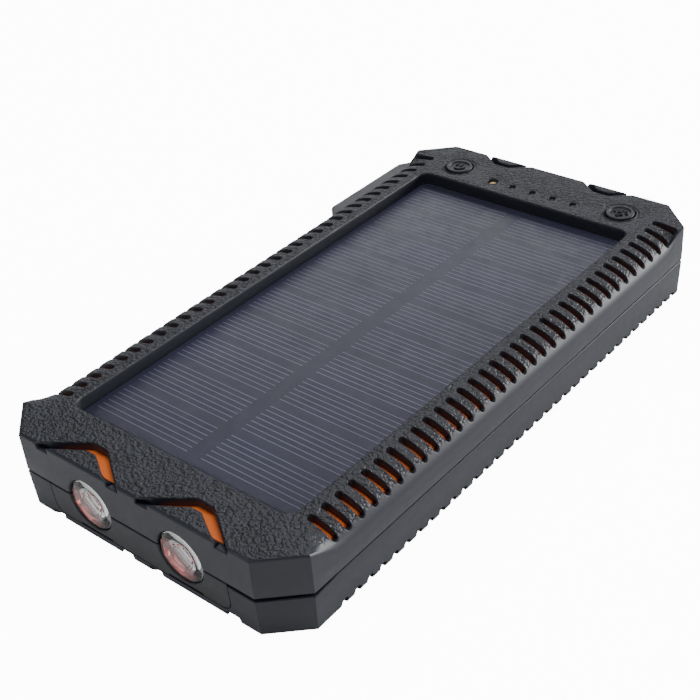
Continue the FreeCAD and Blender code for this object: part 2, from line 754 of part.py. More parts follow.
def build_board():
    """The main board with its coils, chips, indicator lamps and tact switches."""
    node(box("MainBoard", ("-board_half", "board_half"), ("board_front", "board_rear"),
             ("board_under", BOARD_TOP)), "main_board")
    coils = [rod(f"Coil{step + 1}", "coil_half", "coil_height", f"coil_first + {step}*coil_pitch",
                 "component_row", "board_under - coil_height") for step in range(2)]
    node(fused("Coils", coils), "power_coils")
    chips = [box(f"Chip{step + 1}", about(f"control_first + {step}*control_pitch", "control_width"),
                 about("component_row", "control_depth"), ("board_under - control_thick", "board_under"))
             for step in range(3)]
    node(fused("Chips", chips), "control_chips")
    leds = [box(f"IndicatorChip{step + 1}", about(f"lamp_first + {step}*lamp_pitch", 1.2),
                about("lamp_row", 1.0), (BOARD_TOP, f"{BOARD_TOP} + 0.7")) for step in range(5)]
    node(fused("IndicatorChips", leds), "indicator_leds")
    pipes = lamp_rods("Pipe", f"{BOARD_TOP} + 0.75", f"body_height - 0.3 - {BOARD_TOP} - 0.75", "-0.05")
    node(fused("Pipes", pipes), "light_pipes")


def build_buttons():
    """Two round buttons, each on the plunger of a tact switch."""
    flange_low = "body_height - cover_wall - housing_fit - housing_wall - 0.8"
    for label, word in (("power", "-"), ("torch", "")):
        x = f"{word}button_offset"
        cap = rod(f"{label}Cap", "button_half", f"body_height + button_proud - ({flange_low})", x,
                  "button_row", flange_low)
        flange = rod(f"{label}Flange", "button_flange", 0.7, x, "button_row", flange_low)
        dish = rod(f"{label}Dish", "button_half - 0.7", 1, x, "button_row", "body_height + button_proud - 0.15")
        node(cut(f"{label}Button", fused(f"{label}ButtonBlank", [cap, flange]), [dish]), f"{label}_button")
        body = box(f"{label}SwitchBody", about(x, "switch_size"), about("button_row", "switch_size"),
                   (BOARD_TOP, f"{BOARD_TOP} + 1.1"))
        well = rod(f"{label}SwitchWell", 1.15, 3, x, "button_row", f"{BOARD_TOP} + 0.15")
        node(cut(f"{label}Switch", body, [well]), f"{label}_switch")
        plunger = rod(f"{label}Plunger", 1.1, f"{flange_low} - {BOARD_TOP} - 0.5", x, "button_row",
                      f"{BOARD_TOP} + 0.5")
        node(plunger, f"{label}_switch_plunger")


def socket(name, x, width, height, depth):
    """A thin metal socket shell, open towards the rear, hung under the main board."""
    outer = box(f"{name}Shell", about(x, width), (f"port_face - {depth}", "port_face"),
                (f"board_under - {height}", "board_under"))
    hollow = box(f"{name}Hollow", about(x, f"{width} - 2*usb_wall"),
                 (f"port_face - {depth} + usb_wall", "port_face + 1"),
                 (f"board_under - {height} + usb_wall", "board_under - usb_wall"))
    return cut(name, outer, [hollow])


def build_ports():
    """Two USB output sockets and the micro-USB charging socket."""
    tongues = []
    for side in ("left", "right"):
        x = f"usb_{side}"
        node(socket(f"{side}Usb", x, "usb_width", "usb_height", "usb_depth"), f"{side}_usb_socket")
        tongues.append(box(f"{side}Tongue", about(x, "usb_width - 2.6"),
                           ("port_face - usb_depth + usb_wall", "port_face - 1.2"),
                           ("board_under - 2.7", "board_under - 0.9")))
    node(fused("UsbTongues", tongues), "usb_tongues")
    node(socket("MicroUsb", "micro_place", "micro_width", "micro_height", "micro_depth"), "charging_socket")
    node(box("MicroTongue", about("micro_place", 3.6), ("port_face - micro_depth + usb_wall", "port_face - 1"),
             about("board_under - micro_height/2", 0.6)), "charging_tongue")


def build_flap():
    """The hinged cover over the sockets and its pin."""
    across = ("-flap_half", "flap_half")
    plate = box("FlapPlate", across, about("flap_axis_y", "flap_thick"), ("flap_axis_z", "flap_top"))
    knuckle = rod("FlapKnuckle", "flap_thick/2", "2*flap_half", "-flap_half",
                  "flap_axis_y", "flap_axis_z", ALONG_X)
    bore = rod("FlapBore", "flap_bore", "2*flap_half + 2", "-flap_half - 1",
               "flap_axis_y", "flap_axis_z", ALONG_X)
    grip = box("FlapGrip", about(0, 12), ("flap_axis_y + flap_thick/2 - 0.35", f"{HALF_LENGTH} + 1"),
               ("flap_top - 0.8", "flap_top + 1"))
    node(cut("Flap", fused("FlapBlank", [plate, knuckle]), [bore, grip]), "port_cover")
    node(rod("FlapPin", "flap_pin", "2*(bay_half + 1)", "-bay_half - 1", "flap_axis_y", "flap_axis_z", ALONG_X),
         "port_cover_pin")


def build_lighter():
    """The heating coil in its cup behind a sliding cover in the side bulge."""
    block = box("CupBlock", ("-cup_face", "-cup_face + cup_depth"), about("lighter_place", "cup_size"),
                about(MIDDLE, "cup_size"))
    well = rod("CupWell", "cup_well", "cup_depth - 0.8 + 1", "-cup_face - 1", "lighter_place", MIDDLE, ALONG_X)
    node(cut("LighterCup", block, [well]), "lighter_cup")
    rings = []
    for step in range(3):
        ring = doc.addObject("Part::Torus", f"CoilRing{step + 1}")
        tie(ring, "Radius1", f"{3.3 - 1.1 * step:.1f}")
        tie(ring, "Radius2", "0.3")
        place(ring, "-cup_face + cup_depth - 1.1", "lighter_place", MIDDLE, ALONG_X)
        rings.append(ring)
    bar = box("CoilBar", about("-cup_face + cup_depth - 1.1", 0.3), about("lighter_place", 6.6),
              about(MIDDLE, 0.4))
    node(fused("LighterCoil", rings + [bar]), "lighter_coil")

    face = f"(-({HALF_WIDTH} + side_bulge))"
    run = about("lighter_place", "slide_length")
    runner = box("SlideRunner", (f"{face} + 0.75", "-(cup_face + 0.15)"), run,
                 ("track_foot + 0.1", "body_height - track_foot - 0.1"))
    raised = box("SlideRaised", (f"{face} + 0.15", f"{face} + 0.8"), run,
                 ("track_mouth + 0.1", "body_height - track_mouth - 0.1"))
    ribs = [box(f"SlideGroove{step + 1}", (f"{face} - 1", f"{face} + 0.45"),
                about(f"lighter_place - 3 + 1.5*{step}", 0.7),
                ("track_mouth + 1.2", "body_height - track_mouth - 1.2")) for step in range(5)]
    node(cut("Slide", fused("SlideBlank", [runner, raised]), ribs), "lighter_slide")


def build_leads():
    """The wires between the boards, each a real length clipped inside the housing."""
    back = size("battery_front") + size("battery_length") + 1.3
    board = size("board_under")
    under = [[(x, back, 9.0), (x, back + 5.5, 9.0), (x, back + 5.5, board)] for x in (2.0, 6.0)]
    leads("battery_leads", under, 1.5)
    rear = -size("body_length") / 2 + size("cover_wall") + size("reflector_depth") + 1.1
    edge = size("board_half")
    middle = board + size("board_thick") / 2
    torch = []
    for step in range(2):
        spread = 1.15 * step
        torch.append([(14.0 - spread, rear, middle), (14.0 - spread, -56.2 - spread, middle),
                      (33.3 + spread, -56.2 - spread, middle), (33.3 + spread, 55.0 + spread, middle),
                      (edge, 55.0 + spread, middle)])
    leads("torch_leads", torch, 2.0)
    cup_back = -size("cup_face") + size("cup_depth")
    place_y = size("lighter_place")
    heater = [[(cup_back, place_y + offset, middle), (-edge, place_y + offset, middle)]
              for offset in (-1.5, 1.5)]
    leads("lighter_leads", heater, 1.0)
    solar = [[(x, 50.0, size("ledge_top")), (x, 50.0, board + size("board_thick"))] for x in (-16.0, 16.0)]
    leads("solar_leads", solar, 1.0)


def write_steps():
    """Check every object, then write each sub-part's shape under its own name."""
    doc.recompute()
    for item in doc.Objects:
        if "Invalid" in item.State or "Error" in item.State:
            raise RuntimeError(f"{item.Name} is {item.State}")
    for label, item in nodes:
        if item.Shape.isNull() or not item.Shape.isValid() or item.Shape.Volume <= 0:
            raise RuntimeError(f"{label} has no valid shape")
    os.makedirs("parts", exist_ok=True)
    for label, item in nodes:
        item.Shape.exportStep(os.path.join("parts", f"{label}.step"))
        print(f"{label}: {len(item.Shape.Solids)} solid(s), {item.Shape.Volume:.1f} mm3")


def main():
    """Build every sub-assembly in the order it would go together."""
    fill_sheet()
    build_housing()
    build_battery()
    build_board()
    build_ports()
    build_buttons()
    build_torch()
    build_solar()
    build_lighter()
    build_flap()
    build_covers()
    build_screws()
    build_leads()
    write_steps()


main()
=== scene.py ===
"""Solar phone charger: the visible pieces and finishes, built round the fixed frame.

The case is a pair of black covers over a coloured housing. Each cover is one sheet that is drawn flat,
with its slots, chevrons and other openings, and then wrapped over the case form. Lengths in the
dataclasses are millimetres in the frame of the model; meshes are made in metres.
"""

import json
import logging
import math
from dataclasses import dataclass, field, replace
from enum import Enum
from typing import Iterable, Sequence

import bpy
from mathutils import Euler, Matrix, Vector
from mathutils.geometry import delaunay_2d_cdt

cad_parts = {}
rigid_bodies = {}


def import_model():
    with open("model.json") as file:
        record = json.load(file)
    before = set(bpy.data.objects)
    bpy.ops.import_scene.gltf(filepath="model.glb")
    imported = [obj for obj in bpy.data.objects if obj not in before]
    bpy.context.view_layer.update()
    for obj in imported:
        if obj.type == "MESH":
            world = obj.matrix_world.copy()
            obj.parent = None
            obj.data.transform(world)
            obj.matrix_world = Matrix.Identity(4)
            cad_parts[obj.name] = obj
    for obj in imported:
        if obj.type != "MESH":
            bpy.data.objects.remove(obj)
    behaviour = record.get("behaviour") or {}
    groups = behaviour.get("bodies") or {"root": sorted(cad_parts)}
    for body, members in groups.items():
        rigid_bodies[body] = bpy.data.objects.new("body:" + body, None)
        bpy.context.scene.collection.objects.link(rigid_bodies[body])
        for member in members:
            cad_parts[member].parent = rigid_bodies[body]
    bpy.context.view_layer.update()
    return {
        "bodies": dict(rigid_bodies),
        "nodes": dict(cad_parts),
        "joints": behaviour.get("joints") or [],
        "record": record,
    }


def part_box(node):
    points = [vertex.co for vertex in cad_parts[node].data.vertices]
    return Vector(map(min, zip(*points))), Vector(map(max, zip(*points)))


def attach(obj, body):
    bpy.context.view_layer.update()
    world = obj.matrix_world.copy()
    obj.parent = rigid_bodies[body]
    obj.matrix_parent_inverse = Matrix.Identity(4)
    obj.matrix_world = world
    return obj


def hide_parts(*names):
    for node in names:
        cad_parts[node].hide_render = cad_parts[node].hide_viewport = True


LOG = logging.getLogger("solar_charger")
MM = 0.001
FAR = 1e3
Point2 = tuple[float, float]
Point3 = tuple[float, float, float]


def box_mm(node: str) -> tuple[Vector, Vector]:
    """Lowest and highest corner of a frame node in millimetres."""
    low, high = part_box(node)
    return Vector(low) / MM, Vector(high) / MM


def smooth(value: float, low: float, high: float) -> float:
    """An even step from 0 at low to 1 at high."""
    share = min(max((value - low) / (high - low), 0.0), 1.0)
    return share * share * (3.0 - 2.0 * share)


def roll_drop(distance: float, radius: float) -> float:
    """How far a rounded edge has fallen at a distance from its foot.

    Args:
        distance: distance from the edge, 0 at the edge itself.
        radius: the rounding's radius.

    Returns:
        The fall, from the radius at the edge to 0 at the radius.
    """
    if distance >= radius:
        return 0.0
    reach = radius - max(distance, 0.0)
    return radius - math.sqrt(max(radius * radius - reach * reach, 0.0))


# ---- finishes --------------------------------------------------------------------------------


class Tree:
    """A small hand for building one node tree."""

    def __init__(self, tree: bpy.types.NodeTree) -> None:
        """Take hold of a tree."""
        self.tree = tree

    def add(self, kind: str, settings: dict[str, object] | None = None,
            inputs: dict[str | int, object] | None = None) -> bpy.types.Node:
        """Add a node, set its properties, and fill or link its inputs.

        Args:
            kind: the node's type name.
            settings: properties of the node itself.
            inputs: values, sockets or lists of sockets for its inputs, by name or index.

        Returns:
            The new node.
        """
        node = self.tree.nodes.new(kind)
        for name, value in (settings or {}).items():
            setattr(node, name, value)
        for name, value in (inputs or {}).items():
            for entry in value if isinstance(value, list) else [value]:
                if isinstance(entry, bpy.types.NodeSocket):
                    self.tree.links.new(entry, node.inputs[name])
                else:
                    node.inputs[name].default_value = entry
        return node

    def math(self, operation: str, *values: object) -> bpy.types.NodeSocket:
        """A Math node on numbers or sockets."""
        return self.add("ShaderNodeMath", {"operation": operation}, dict(enumerate(values))).outputs[0]


class Shader(Tree):
    """A shader tree in the making."""

    def ramp(self, factor: object, stops: Sequence[tuple[float, Sequence[float]]]) -> bpy.types.NodeSocket:
        """A colour ramp.

        Args:
            factor: the socket that drives it.
            stops: positions with their colours.

        Returns:
            The colour socket.
        """
        node = self.add("ShaderNodeValToRGB", None, {0: factor})
        elements = node.color_ramp.elements
        while len(elements) < len(stops):
            elements.new(0.5)
        for element, (position, colour) in zip(elements, stops):
            element.position = position
            element.color = (*colour[:3], 1.0)
        return node.outputs[0]

    def mix(self, factor: object, one: object, two: object) -> bpy.types.NodeSocket:
        """A colour mix."""
        return self.add("ShaderNodeMix", {"data_type": "RGBA"}, {0: factor, 6: one, 7: two}).outputs[2]

    def group(self, tree: bpy.types.NodeTree, inputs: dict[str, object] | None = None) -> bpy.types.Node:
        """Place a shared group."""
        return self.add("ShaderNodeGroup", {"node_tree": tree}, inputs)


def shader_group(name: str, inputs: dict[str, float],
                 outputs: Sequence[str]) -> tuple[Shader, bpy.types.Node, bpy.types.Node]:
    """Start a shader group with float sockets and a coordinate input.

    Args:
        name: the group's name.
        inputs: input names with their defaults.
        outputs: output names.

    Returns:
        The builder, the input node and the output node.
    """
    tree = bpy.data.node_groups.new(name, "ShaderNodeTree")
    tree.interface.new_socket("Place", in_out="INPUT", socket_type="NodeSocketVector")
    for label, value in inputs.items():
        tree.interface.new_socket(label, in_out="INPUT", socket_type="NodeSocketFloat").default_value = value
    for label in outputs:
        tree.interface.new_socket(label, in_out="OUTPUT", socket_type="NodeSocketFloat")
    shader = Shader(tree)
    return shader, shader.add("NodeGroupInput"), shader.add("NodeGroupOutput")


def leather_grain() -> bpy.types.NodeTree:
    """The moulded leather grain: fine pebbles with wandering creases between patches of them.

    Returns:
        The group, with a Height output and a Crease mask, which the cover uses for painted shade in the
        creases.
    """
    name = "leather_grain"
    if name in bpy.data.node_groups:
        return bpy.data.node_groups[name]
    shader, source, sink = shader_group(name, {"Creases": 640.0, "Pebbles": 1500.0, "Warp": 0.0007},
                                        ["Height", "Crease"])
    swirl = shader.add("ShaderNodeTexNoise", {"noise_dimensions": "3D"},
                       {"Vector": source.outputs["Place"], "Scale": 520.0, "Detail": 3.0})
    centred = shader.add("ShaderNodeVectorMath", {"operation": "SUBTRACT"},
                         {0: swirl.outputs["Color"], 1: (0.5, 0.5, 0.5)})
    push = shader.add("ShaderNodeVectorMath", {"operation": "SCALE"},
                      {0: centred.outputs[0], "Scale": source.outputs["Warp"]})
    warped = shader.add("ShaderNodeVectorMath", {"operation": "ADD"},
                        {0: source.outputs["Place"], 1: push.outputs[0]}).outputs[0]
    creases = shader.add("ShaderNodeTexVoronoi", {"feature": "DISTANCE_TO_EDGE"},
                         {"Vector": warped, "Scale": source.outputs["Creases"], "Randomness": 1.0})
    pebbles = shader.add("ShaderNodeTexVoronoi", {"feature": "F1"},
                         {"Vector": warped, "Scale": source.outputs["Pebbles"]})
    broken = shader.add("ShaderNodeTexNoise", None,
                        {"Vector": source.outputs["Place"], "Scale": 260.0, "Detail": 1.0})
    strength = shader.add("ShaderNodeMapRange", None,
                          {"Value": broken.outputs[0], "From Min": 0.38, "From Max": 0.58,
                           "To Min": 0.15, "To Max": 1.0})
    patch = shader.add("ShaderNodeMapRange", {"interpolation_type": "SMOOTHSTEP"},
                       {"Value": creases.outputs["Distance"], "From Min": 0.0, "From Max": 0.16})
    crease = shader.math("MULTIPLY", shader.math("SUBTRACT", 1.0, patch.outputs[0]), strength.outputs[0])
    pebble = shader.math("MULTIPLY", shader.math("POWER", pebbles.outputs["Distance"], 1.7), 1.1)
    height = shader.math("SUBTRACT", shader.math("SUBTRACT", 1.0, pebble),
                         shader.math("MULTIPLY", crease, 0.55))
    shader.tree.links.new(height, sink.inputs["Height"])
    shader.tree.links.new(crease, sink.inputs["Crease"])
    return shader.tree


def handling_marks() -> bpy.types.NodeTree:
    """Faint unevenness from moulding, dust and handling.

    Returns:
        The group, with a Patch mask for colour, a Smear mask for roughness and a Speck height for relief.
    """
    name = "handling_marks"
    if name in bpy.data.node_groups:
        return bpy.data.node_groups[name]
    shader, source, sink = shader_group(name, {"Patch Size": 60.0, "Speck Size": 2200.0},
                                        ["Patch", "Smear", "Speck"])
    wide = shader.add("ShaderNodeTexNoise", None,
                      {"Vector": source.outputs["Place"], "Scale": source.outputs["Patch Size"], "Detail": 3.0})
    smear = shader.add("ShaderNodeTexNoise", None,
                       {"Vector": source.outputs["Place"], "Scale": shader.math("MULTIPLY",
                        source.outputs["Patch Size"], 6.0), "Detail": 4.0, "Distortion": 0.6})
    speck = shader.add("ShaderNodeTexNoise", None, {"Vector": source.outputs["Place"],
                                                    "Scale": source.outputs["Speck Size"], "Detail": 1.0})
    for label, node in (("Patch", wide), ("Smear", smear), ("Speck", speck)):
        shader.tree.links.new(node.outputs["Factor" if "Factor" in node.outputs else "Fac"], sink.inputs[label])
    return shader.tree


@dataclass(frozen=True)
class Finish:
    """A plain moulded or metal finish with slight unevenness."""

    name: str
    colour: tuple[float, float, float]
    second: tuple[float, float, float] | None = None
    roughness: float = 0.45
    spread: float = 0.08
    metallic: float = 0.0
    coat: float = 0.0
    coat_roughness: float = 0.12
    bump: float = 0.00002
    speck: float = 1800.0
    specular: float = 0.5
    emission: float = 0.0
    alpha: float = 1.0
    transmission: float = 0.0
    ior: float = 1.45

    def material(self) -> bpy.types.Material:
        """Build the material, or find it again.

        Returns:
            The material.
        """
        label = f"{self.name}_finish"
        if label in bpy.data.materials:
            return bpy.data.materials[label]
        material = bpy.data.materials.new(label)
        material.use_nodes = True
        shader = Shader(material.node_tree)
        surface = material.node_tree.nodes["Principled BSDF"]
        place = shader.add("ShaderNodeTexCoord").outputs["Object"]
        marks = shader.group(handling_marks(), {"Place": place, "Speck Size": self.speck})
        self.dress(shader, surface, place, marks)
        surface.inputs["Metallic"].default_value = self.metallic
        surface.inputs["Coat Weight"].default_value = self.coat
        surface.inputs["Coat Roughness"].default_value = self.coat_roughness
        surface.inputs["Specular IOR Level"].default_value = self.specular
        surface.inputs["IOR"].default_value = self.ior
        surface.inputs["Alpha"].default_value = self.alpha
        surface.inputs["Transmission Weight"].default_value = self.transmission
        return material

    def dress(self, shader: Shader, surface: bpy.types.Node, place: bpy.types.NodeSocket,
              marks: bpy.types.Node) -> None:
        """Wire colour, roughness and relief.

        Args:
            shader: the tree's builder.
            surface: the Principled node.
            place: object coordinates, not used here.
            marks: the handling marks.
        """
        links = shader.tree.links
        second = self.second or tuple(min(1.0, part * 1.25 + 0.004) for part in self.colour)
        shade = shader.ramp(marks.outputs["Patch"], [(0.3, self.colour), (0.75, second)])
        links.new(shade, surface.inputs["Base Color"])
        links.new(self.rough(shader, marks.outputs["Smear"]), surface.inputs["Roughness"])
        relief = shader.add("ShaderNodeBump", None, {"Strength": 0.5, "Distance": self.bump,
                                                     "Height": marks.outputs["Speck"]})
        links.new(relief.outputs[0], surface.inputs["Normal"])
        if self.emission:
            links.new(shade, surface.inputs["Emission Color"])
            surface.inputs["Emission Strength"].default_value = self.emission

    def rough(self, shader: Shader, smear: bpy.types.NodeSocket) -> bpy.types.NodeSocket:
        """Roughness that varies about its mean.

        Args:
            shader: the tree's builder.
            smear: a mask from 0 to 1.

        Returns:
            The roughness socket.
        """
        spread = shader.add("ShaderNodeMapRange", None, {"Value": smear, "From Min": 0.25, "From Max": 0.75,
                                                         "To Min": self.roughness - self.spread,
                                                         "To Max": self.roughness + self.spread})
        return spread.outputs[0]


@dataclass(frozen=True)
class CoverFinish(Finish):
    """Black cover plastic: leather grain where the sheet is marked for it, satin elsewhere; the grain's creases
    carry painted shade.
    """

    grain_depth: float = 0.00026
    grain_roughness: float = 0.46
    # painted shade: the near-black colour that the grain's creases are darkened towards
    crease_shade_colour: tuple[float, float, float] = (0.006, 0.006, 0.007)

    def dress(self, shader: Shader, surface: bpy.types.Node, place: bpy.types.NodeSocket,
              marks: bpy.types.Node) -> None:
        """Wire the grain over the moulded base, with painted shade darkening its creases.

        Args:
            shader: the tree's builder.
            surface: the Principled node.
            place: object coordinates.
            marks: the handling marks.
        """
        links = shader.tree.links
        grained = shader.add("ShaderNodeAttribute", {"attribute_name": "grain"}).outputs["Fac"]
        grain = shader.group(leather_grain(), {"Place": place})
        second = self.second or self.colour
        shade = shader.ramp(marks.outputs["Patch"], [(0.3, self.colour), (0.75, second)])
        # Painted shade: the base colour darkens towards the crease shade colour in the grain's creases, where
        # shade would fall.
        crease = shader.math("MULTIPLY", grain.outputs["Crease"], shader.math("MULTIPLY", grained, 0.75))
        links.new(shader.mix(crease, shade, (*self.crease_shade_colour, 1.0)), surface.inputs["Base Color"])
        satin = self.rough(shader, marks.outputs["Smear"])
        rough = shader.add("ShaderNodeMix", {"data_type": "FLOAT"},
                           {0: grained, 2: satin, 3: self.grain_roughness})
        links.new(rough.outputs[0], surface.inputs["Roughness"])
        raised = shader.math("MULTIPLY", grain.outputs["Height"], grained)
        moulded = shader.add("ShaderNodeBump", None, {"Strength": 0.4, "Distance": self.bump,
                                                      "Height": marks.outputs["Speck"]})
        leather = shader.add("ShaderNodeBump", None, {"Strength": 1.0, "Distance": self.grain_depth,
                                                      "Height": raised, "Normal": moulded.outputs[0]})
        links.new(leather.outputs[0], surface.inputs["Normal"])


class Kind(Enum):
    """The charger's finishes by the record's material slot."""

    COVER = CoverFinish("cover_black", (0.017, 0.019, 0.027), (0.020, 0.022, 0.032), roughness=0.44,
                        spread=0.03)
    PANEL = Finish("panel_black", (0.016, 0.018, 0.023), (0.019, 0.021, 0.027), roughness=0.42, spread=0.03)
    ORANGE = Finish("housing_orange", (0.93, 0.16, 0.018), (1.0, 0.22, 0.035), roughness=0.42, bump=0.00003)
    BUTTON = Finish("button_black", (0.014, 0.015, 0.019), (0.018, 0.019, 0.024), roughness=0.5, spread=0.03)
    GLAZING = Finish("solar_glazing", (0.05, 0.05, 0.07), roughness=0.35, alpha=0.06)
    CELL = Finish("solar_cell", (0.024, 0.024, 0.050), (0.028, 0.028, 0.062), roughness=0.42, coat=0.15,
                  coat_roughness=0.35, specular=0.35)
    FINGER = Finish("solar_finger", (0.11, 0.11, 0.18), (0.15, 0.15, 0.24), roughness=0.4, coat=0.15,
                    coat_roughness=0.35, specular=0.35)
    SOLAR_BOARD = Finish("solar_board", (0.026, 0.027, 0.040), (0.030, 0.031, 0.046), roughness=0.42, coat=0.4,
                         coat_roughness=0.35)
    LENS = Finish("lens_clear", (0.98, 0.95, 0.95), (1.0, 1.0, 1.0), roughness=0.03, spread=0.02,
                  transmission=1.0, bump=0.000002)
    REFLECTOR = Finish("reflector_red", (0.80, 0.24, 0.21), (0.98, 0.62, 0.60), roughness=0.08, spread=0.03,
                       metallic=1.0, bump=0.000012)
    COLLAR = Finish("lamp_collar", (0.55, 0.05, 0.03), (0.70, 0.10, 0.06), roughness=0.3, coat=0.5)
    LED = Finish("led_yellow", (0.90, 0.55, 0.05), (1.0, 0.75, 0.15), roughness=0.3, emission=0.3)
    PIPE = Finish("light_pipe", (0.05, 0.08, 0.05), (0.09, 0.12, 0.07), roughness=0.2, coat=0.6)
    LIT_PIPE = Finish("charging_pipe", (0.10, 0.22, 0.05), (0.75, 0.25, 0.04), roughness=0.2, coat=0.6,
                      speck=500.0)
    BOARD = Finish("board_green", (0.015, 0.10, 0.04), (0.02, 0.15, 0.06), roughness=0.35, coat=0.4)
    CHIP = Finish("chip_black", (0.012, 0.012, 0.013), roughness=0.55)
    COIL = Finish("coil_grey", (0.08, 0.08, 0.085), (0.12, 0.12, 0.12), roughness=0.6, bump=0.00008)
    SWITCH = Finish("switch_steel", (0.55, 0.55, 0.57), roughness=0.3, metallic=1.0)
    SOCKET = Finish("socket_steel", (0.60, 0.60, 0.62), (0.68, 0.68, 0.70), roughness=0.25, metallic=1.0)
    TONGUE = Finish("tongue_white", (0.75, 0.75, 0.75), roughness=0.45)
    SCREW = Finish("screw_steel", (0.10, 0.10, 0.11), (0.16, 0.16, 0.17), roughness=0.35, metallic=1.0)
    FOIL = Finish("battery_foil", (0.62, 0.64, 0.66), (0.70, 0.72, 0.74), roughness=0.35, metallic=0.9,
                  bump=0.0001)
    TAPE = Finish("tape_white", (0.70, 0.70, 0.66), roughness=0.7, bump=0.0001)
    FOAM = Finish("foam_grey", (0.05, 0.05, 0.05), (0.08, 0.08, 0.08), roughness=0.9, bump=0.0003)
    CERAMIC = Finish("ceramic_white", (0.72, 0.70, 0.66), (0.78, 0.76, 0.72), roughness=0.3, coat=0.3)
    WIRE = Finish("coil_wire", (0.24, 0.20, 0.18), (0.35, 0.30, 0.26), roughness=0.4, metallic=1.0)
    LEAD = Finish("wire_red", (0.45, 0.02, 0.015), (0.55, 0.04, 0.03), roughness=0.4)


KIND_OF_SLOT = {kind.value.name: kind for kind in Kind}


# ---- meshes ----------------------------------------------------------------------------------


@dataclass
class Sheet:
    """Points and faces of a mesh in the making, in millimetres."""

    points: list[Vector] = field(default_factory=list)
    faces: list[tuple[int, ...]] = field(default_factory=list)
    grain: dict[int, float] = field(default_factory=dict)

    def add(self, points: Iterable[Sequence[float]], faces: Iterable[Sequence[int]],
            flip: bool = False) -> None:
        """Add a patch of points with faces counted from its own first point.

        Args:
            points: the patch's points.
            faces: its faces.
            flip: whether to turn the faces over.
        """
        base = len(self.points)
        self.points.extend(Vector(point) for point in points)
        for face in faces:
            ring = tuple(base + index for index in face)
            self.faces.append(ring[::-1] if flip else ring)

    def loft(self, rings: Sequence[Sequence[Sequence[float]]], close: bool = True, caps: bool = False) -> None:
        """Join closed rings of equal count with quads.

        Args:
            rings: the rings in order.
            close: whether each ring runs back to its first point.
            caps: whether the first and the last ring are filled.
        """
        count = len(rings[0])
        points = [point for ring in rings for point in ring]
        faces: list[tuple[int, ...]] = []
        for level in range(len(rings) - 1):
            for step in range(count if close else count - 1):
                after = (step + 1) % count
                faces.append((level * count + step, level * count + after,
                              (level + 1) * count + after, (level + 1) * count + step))
        if caps:
            last = (len(rings) - 1) * count
            faces.append(tuple(range(count))[::-1])
            faces.append(tuple(last + step for step in range(count)))
        self.add(points, faces)

    def piece(self, name: str, kind: Kind, body: str, replaced: Sequence[str] = (),
              sharp: float = 35.0) -> bpy.types.Object:
        """Make the finished piece.

        Args:
            name: the piece's name.
            kind: its finish.
            body: the body it rides on.
            replaced: frame nodes that it stands for.
            sharp: the angle in degrees past which an edge stays crisp.

        Returns:
            The object.
        """
        mesh = bpy.data.meshes.new(name)
        mesh.from_pydata([point * MM for point in self.points], [], self.faces)
        mesh.validate()
        if self.grain:
            layer = mesh.attributes.new("grain", "FLOAT", "POINT")
            for index, value in self.grain.items():
                layer.data[index].value = value
        return finish_piece(name, mesh, kind, body, replaced, sharp)


def finish_piece(name: str, mesh: bpy.types.Mesh, kind: Kind, body: str, replaced: Sequence[str] = (),
                 sharp: float = 35.0) -> bpy.types.Object:
    """Link a mesh as a piece, dress it and tie it to the frame.

    Args:
        name: the piece's name.
        mesh: its mesh in metres.
        kind: its finish.
        body: the body it rides on.
        replaced: frame nodes that it stands for.
        sharp: the angle in degrees past which an edge stays crisp.

    Returns:
        The object.
    """
    mesh.shade_smooth()
    mesh.set_sharp_from_angle(angle=math.radians(sharp))
    mesh.materials.clear()
    mesh.materials.append(kind.value.material())
    item = bpy.data.objects.new(name, mesh)
    bpy.context.scene.collection.objects.link(item)
    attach(item, body)
    if replaced:
        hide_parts(*replaced)
    LOG.info("%s: %d faces on %s", name, len(mesh.polygons), body)
    return item


def rounded_rectangle(x_low: float, x_high: float, y_low: float, y_high: float, radius: float,
                      steps: int = 5) -> list[Point2]:
    """The outline of a rectangle with round corners, counter-clockwise.

    Args:
        x_low: left side.
        x_high: right side.
        y_low: lower side.
        y_high: upper side.
        radius: the corners' radius.
        steps: how many segments each corner has.

    Returns:
        The outline's points.
    """
    corners = ((x_high - radius, y_low + radius, -90.0), (x_high - radius, y_high - radius, 0.0),
               (x_low + radius, y_high - radius, 90.0), (x_low + radius, y_low + radius, 180.0))
    ring = []
    for across, along, start in corners:
        for step in range(steps + 1):
            angle = math.radians(start + 90.0 * step / steps)
            ring.append((across + radius * math.cos(angle), along + radius * math.sin(angle)))
    return ring


def filleted(corners: Sequence[tuple[float, float, float]], steps: int = 5) -> tuple[Point2, ...]:
    """A polygon with rounded corners.

    Args:
        corners: each corner with its radius, 0 for a sharp one.
        steps: how many segments each rounding has.

    Returns:
        The outline's points.
    """
    ring: list[Point2] = []
    for index, (x, y, radius) in enumerate(corners):
        here = Vector((x, y))
        before = (Vector(corners[index - 1][:2]) - here).normalized()
        after = (Vector(corners[(index + 1) % len(corners)][:2]) - here).normalized()
        if radius <= 0:
            ring.append((x, y))
            continue
        half = before.angle(after) / 2
        centre = here + (before + after).normalized() * radius / math.sin(half)
        start = here + before * radius / math.tan(half) - centre
        end = here + after * radius / math.tan(half) - centre
        turn = start.angle_signed(end)
        for step in range(steps + 1):
            ring.append(tuple(centre + Matrix.Rotation(-turn * step / steps, 2) @ start))
    return tuple(ring)


def circle(x: float, y: float, radius: float, steps: int = 32) -> list[Point2]:
    """A circle's points, counter-clockwise."""
    return [(x + radius * math.cos(math.tau * step / steps), y + radius * math.sin(math.tau * step / steps))
            for step in range(steps)]


# ---- openings in a cover's flat sheet --------------------------------------------------------


@dataclass(frozen=True)
class Opening:
    """Something cut through a sheet, with a rounded rim."""

    rim: float

    def loops(self, offset: float) -> list[list[Point2]]:
        """Closed outlines at a distance outside the opening's edge."""
        raise NotImplementedError

    def distance(self, u: float, v: float) -> float:
        """Distance from a point of the sheet to the opening's edge, negative inside."""
        raise NotImplementedError


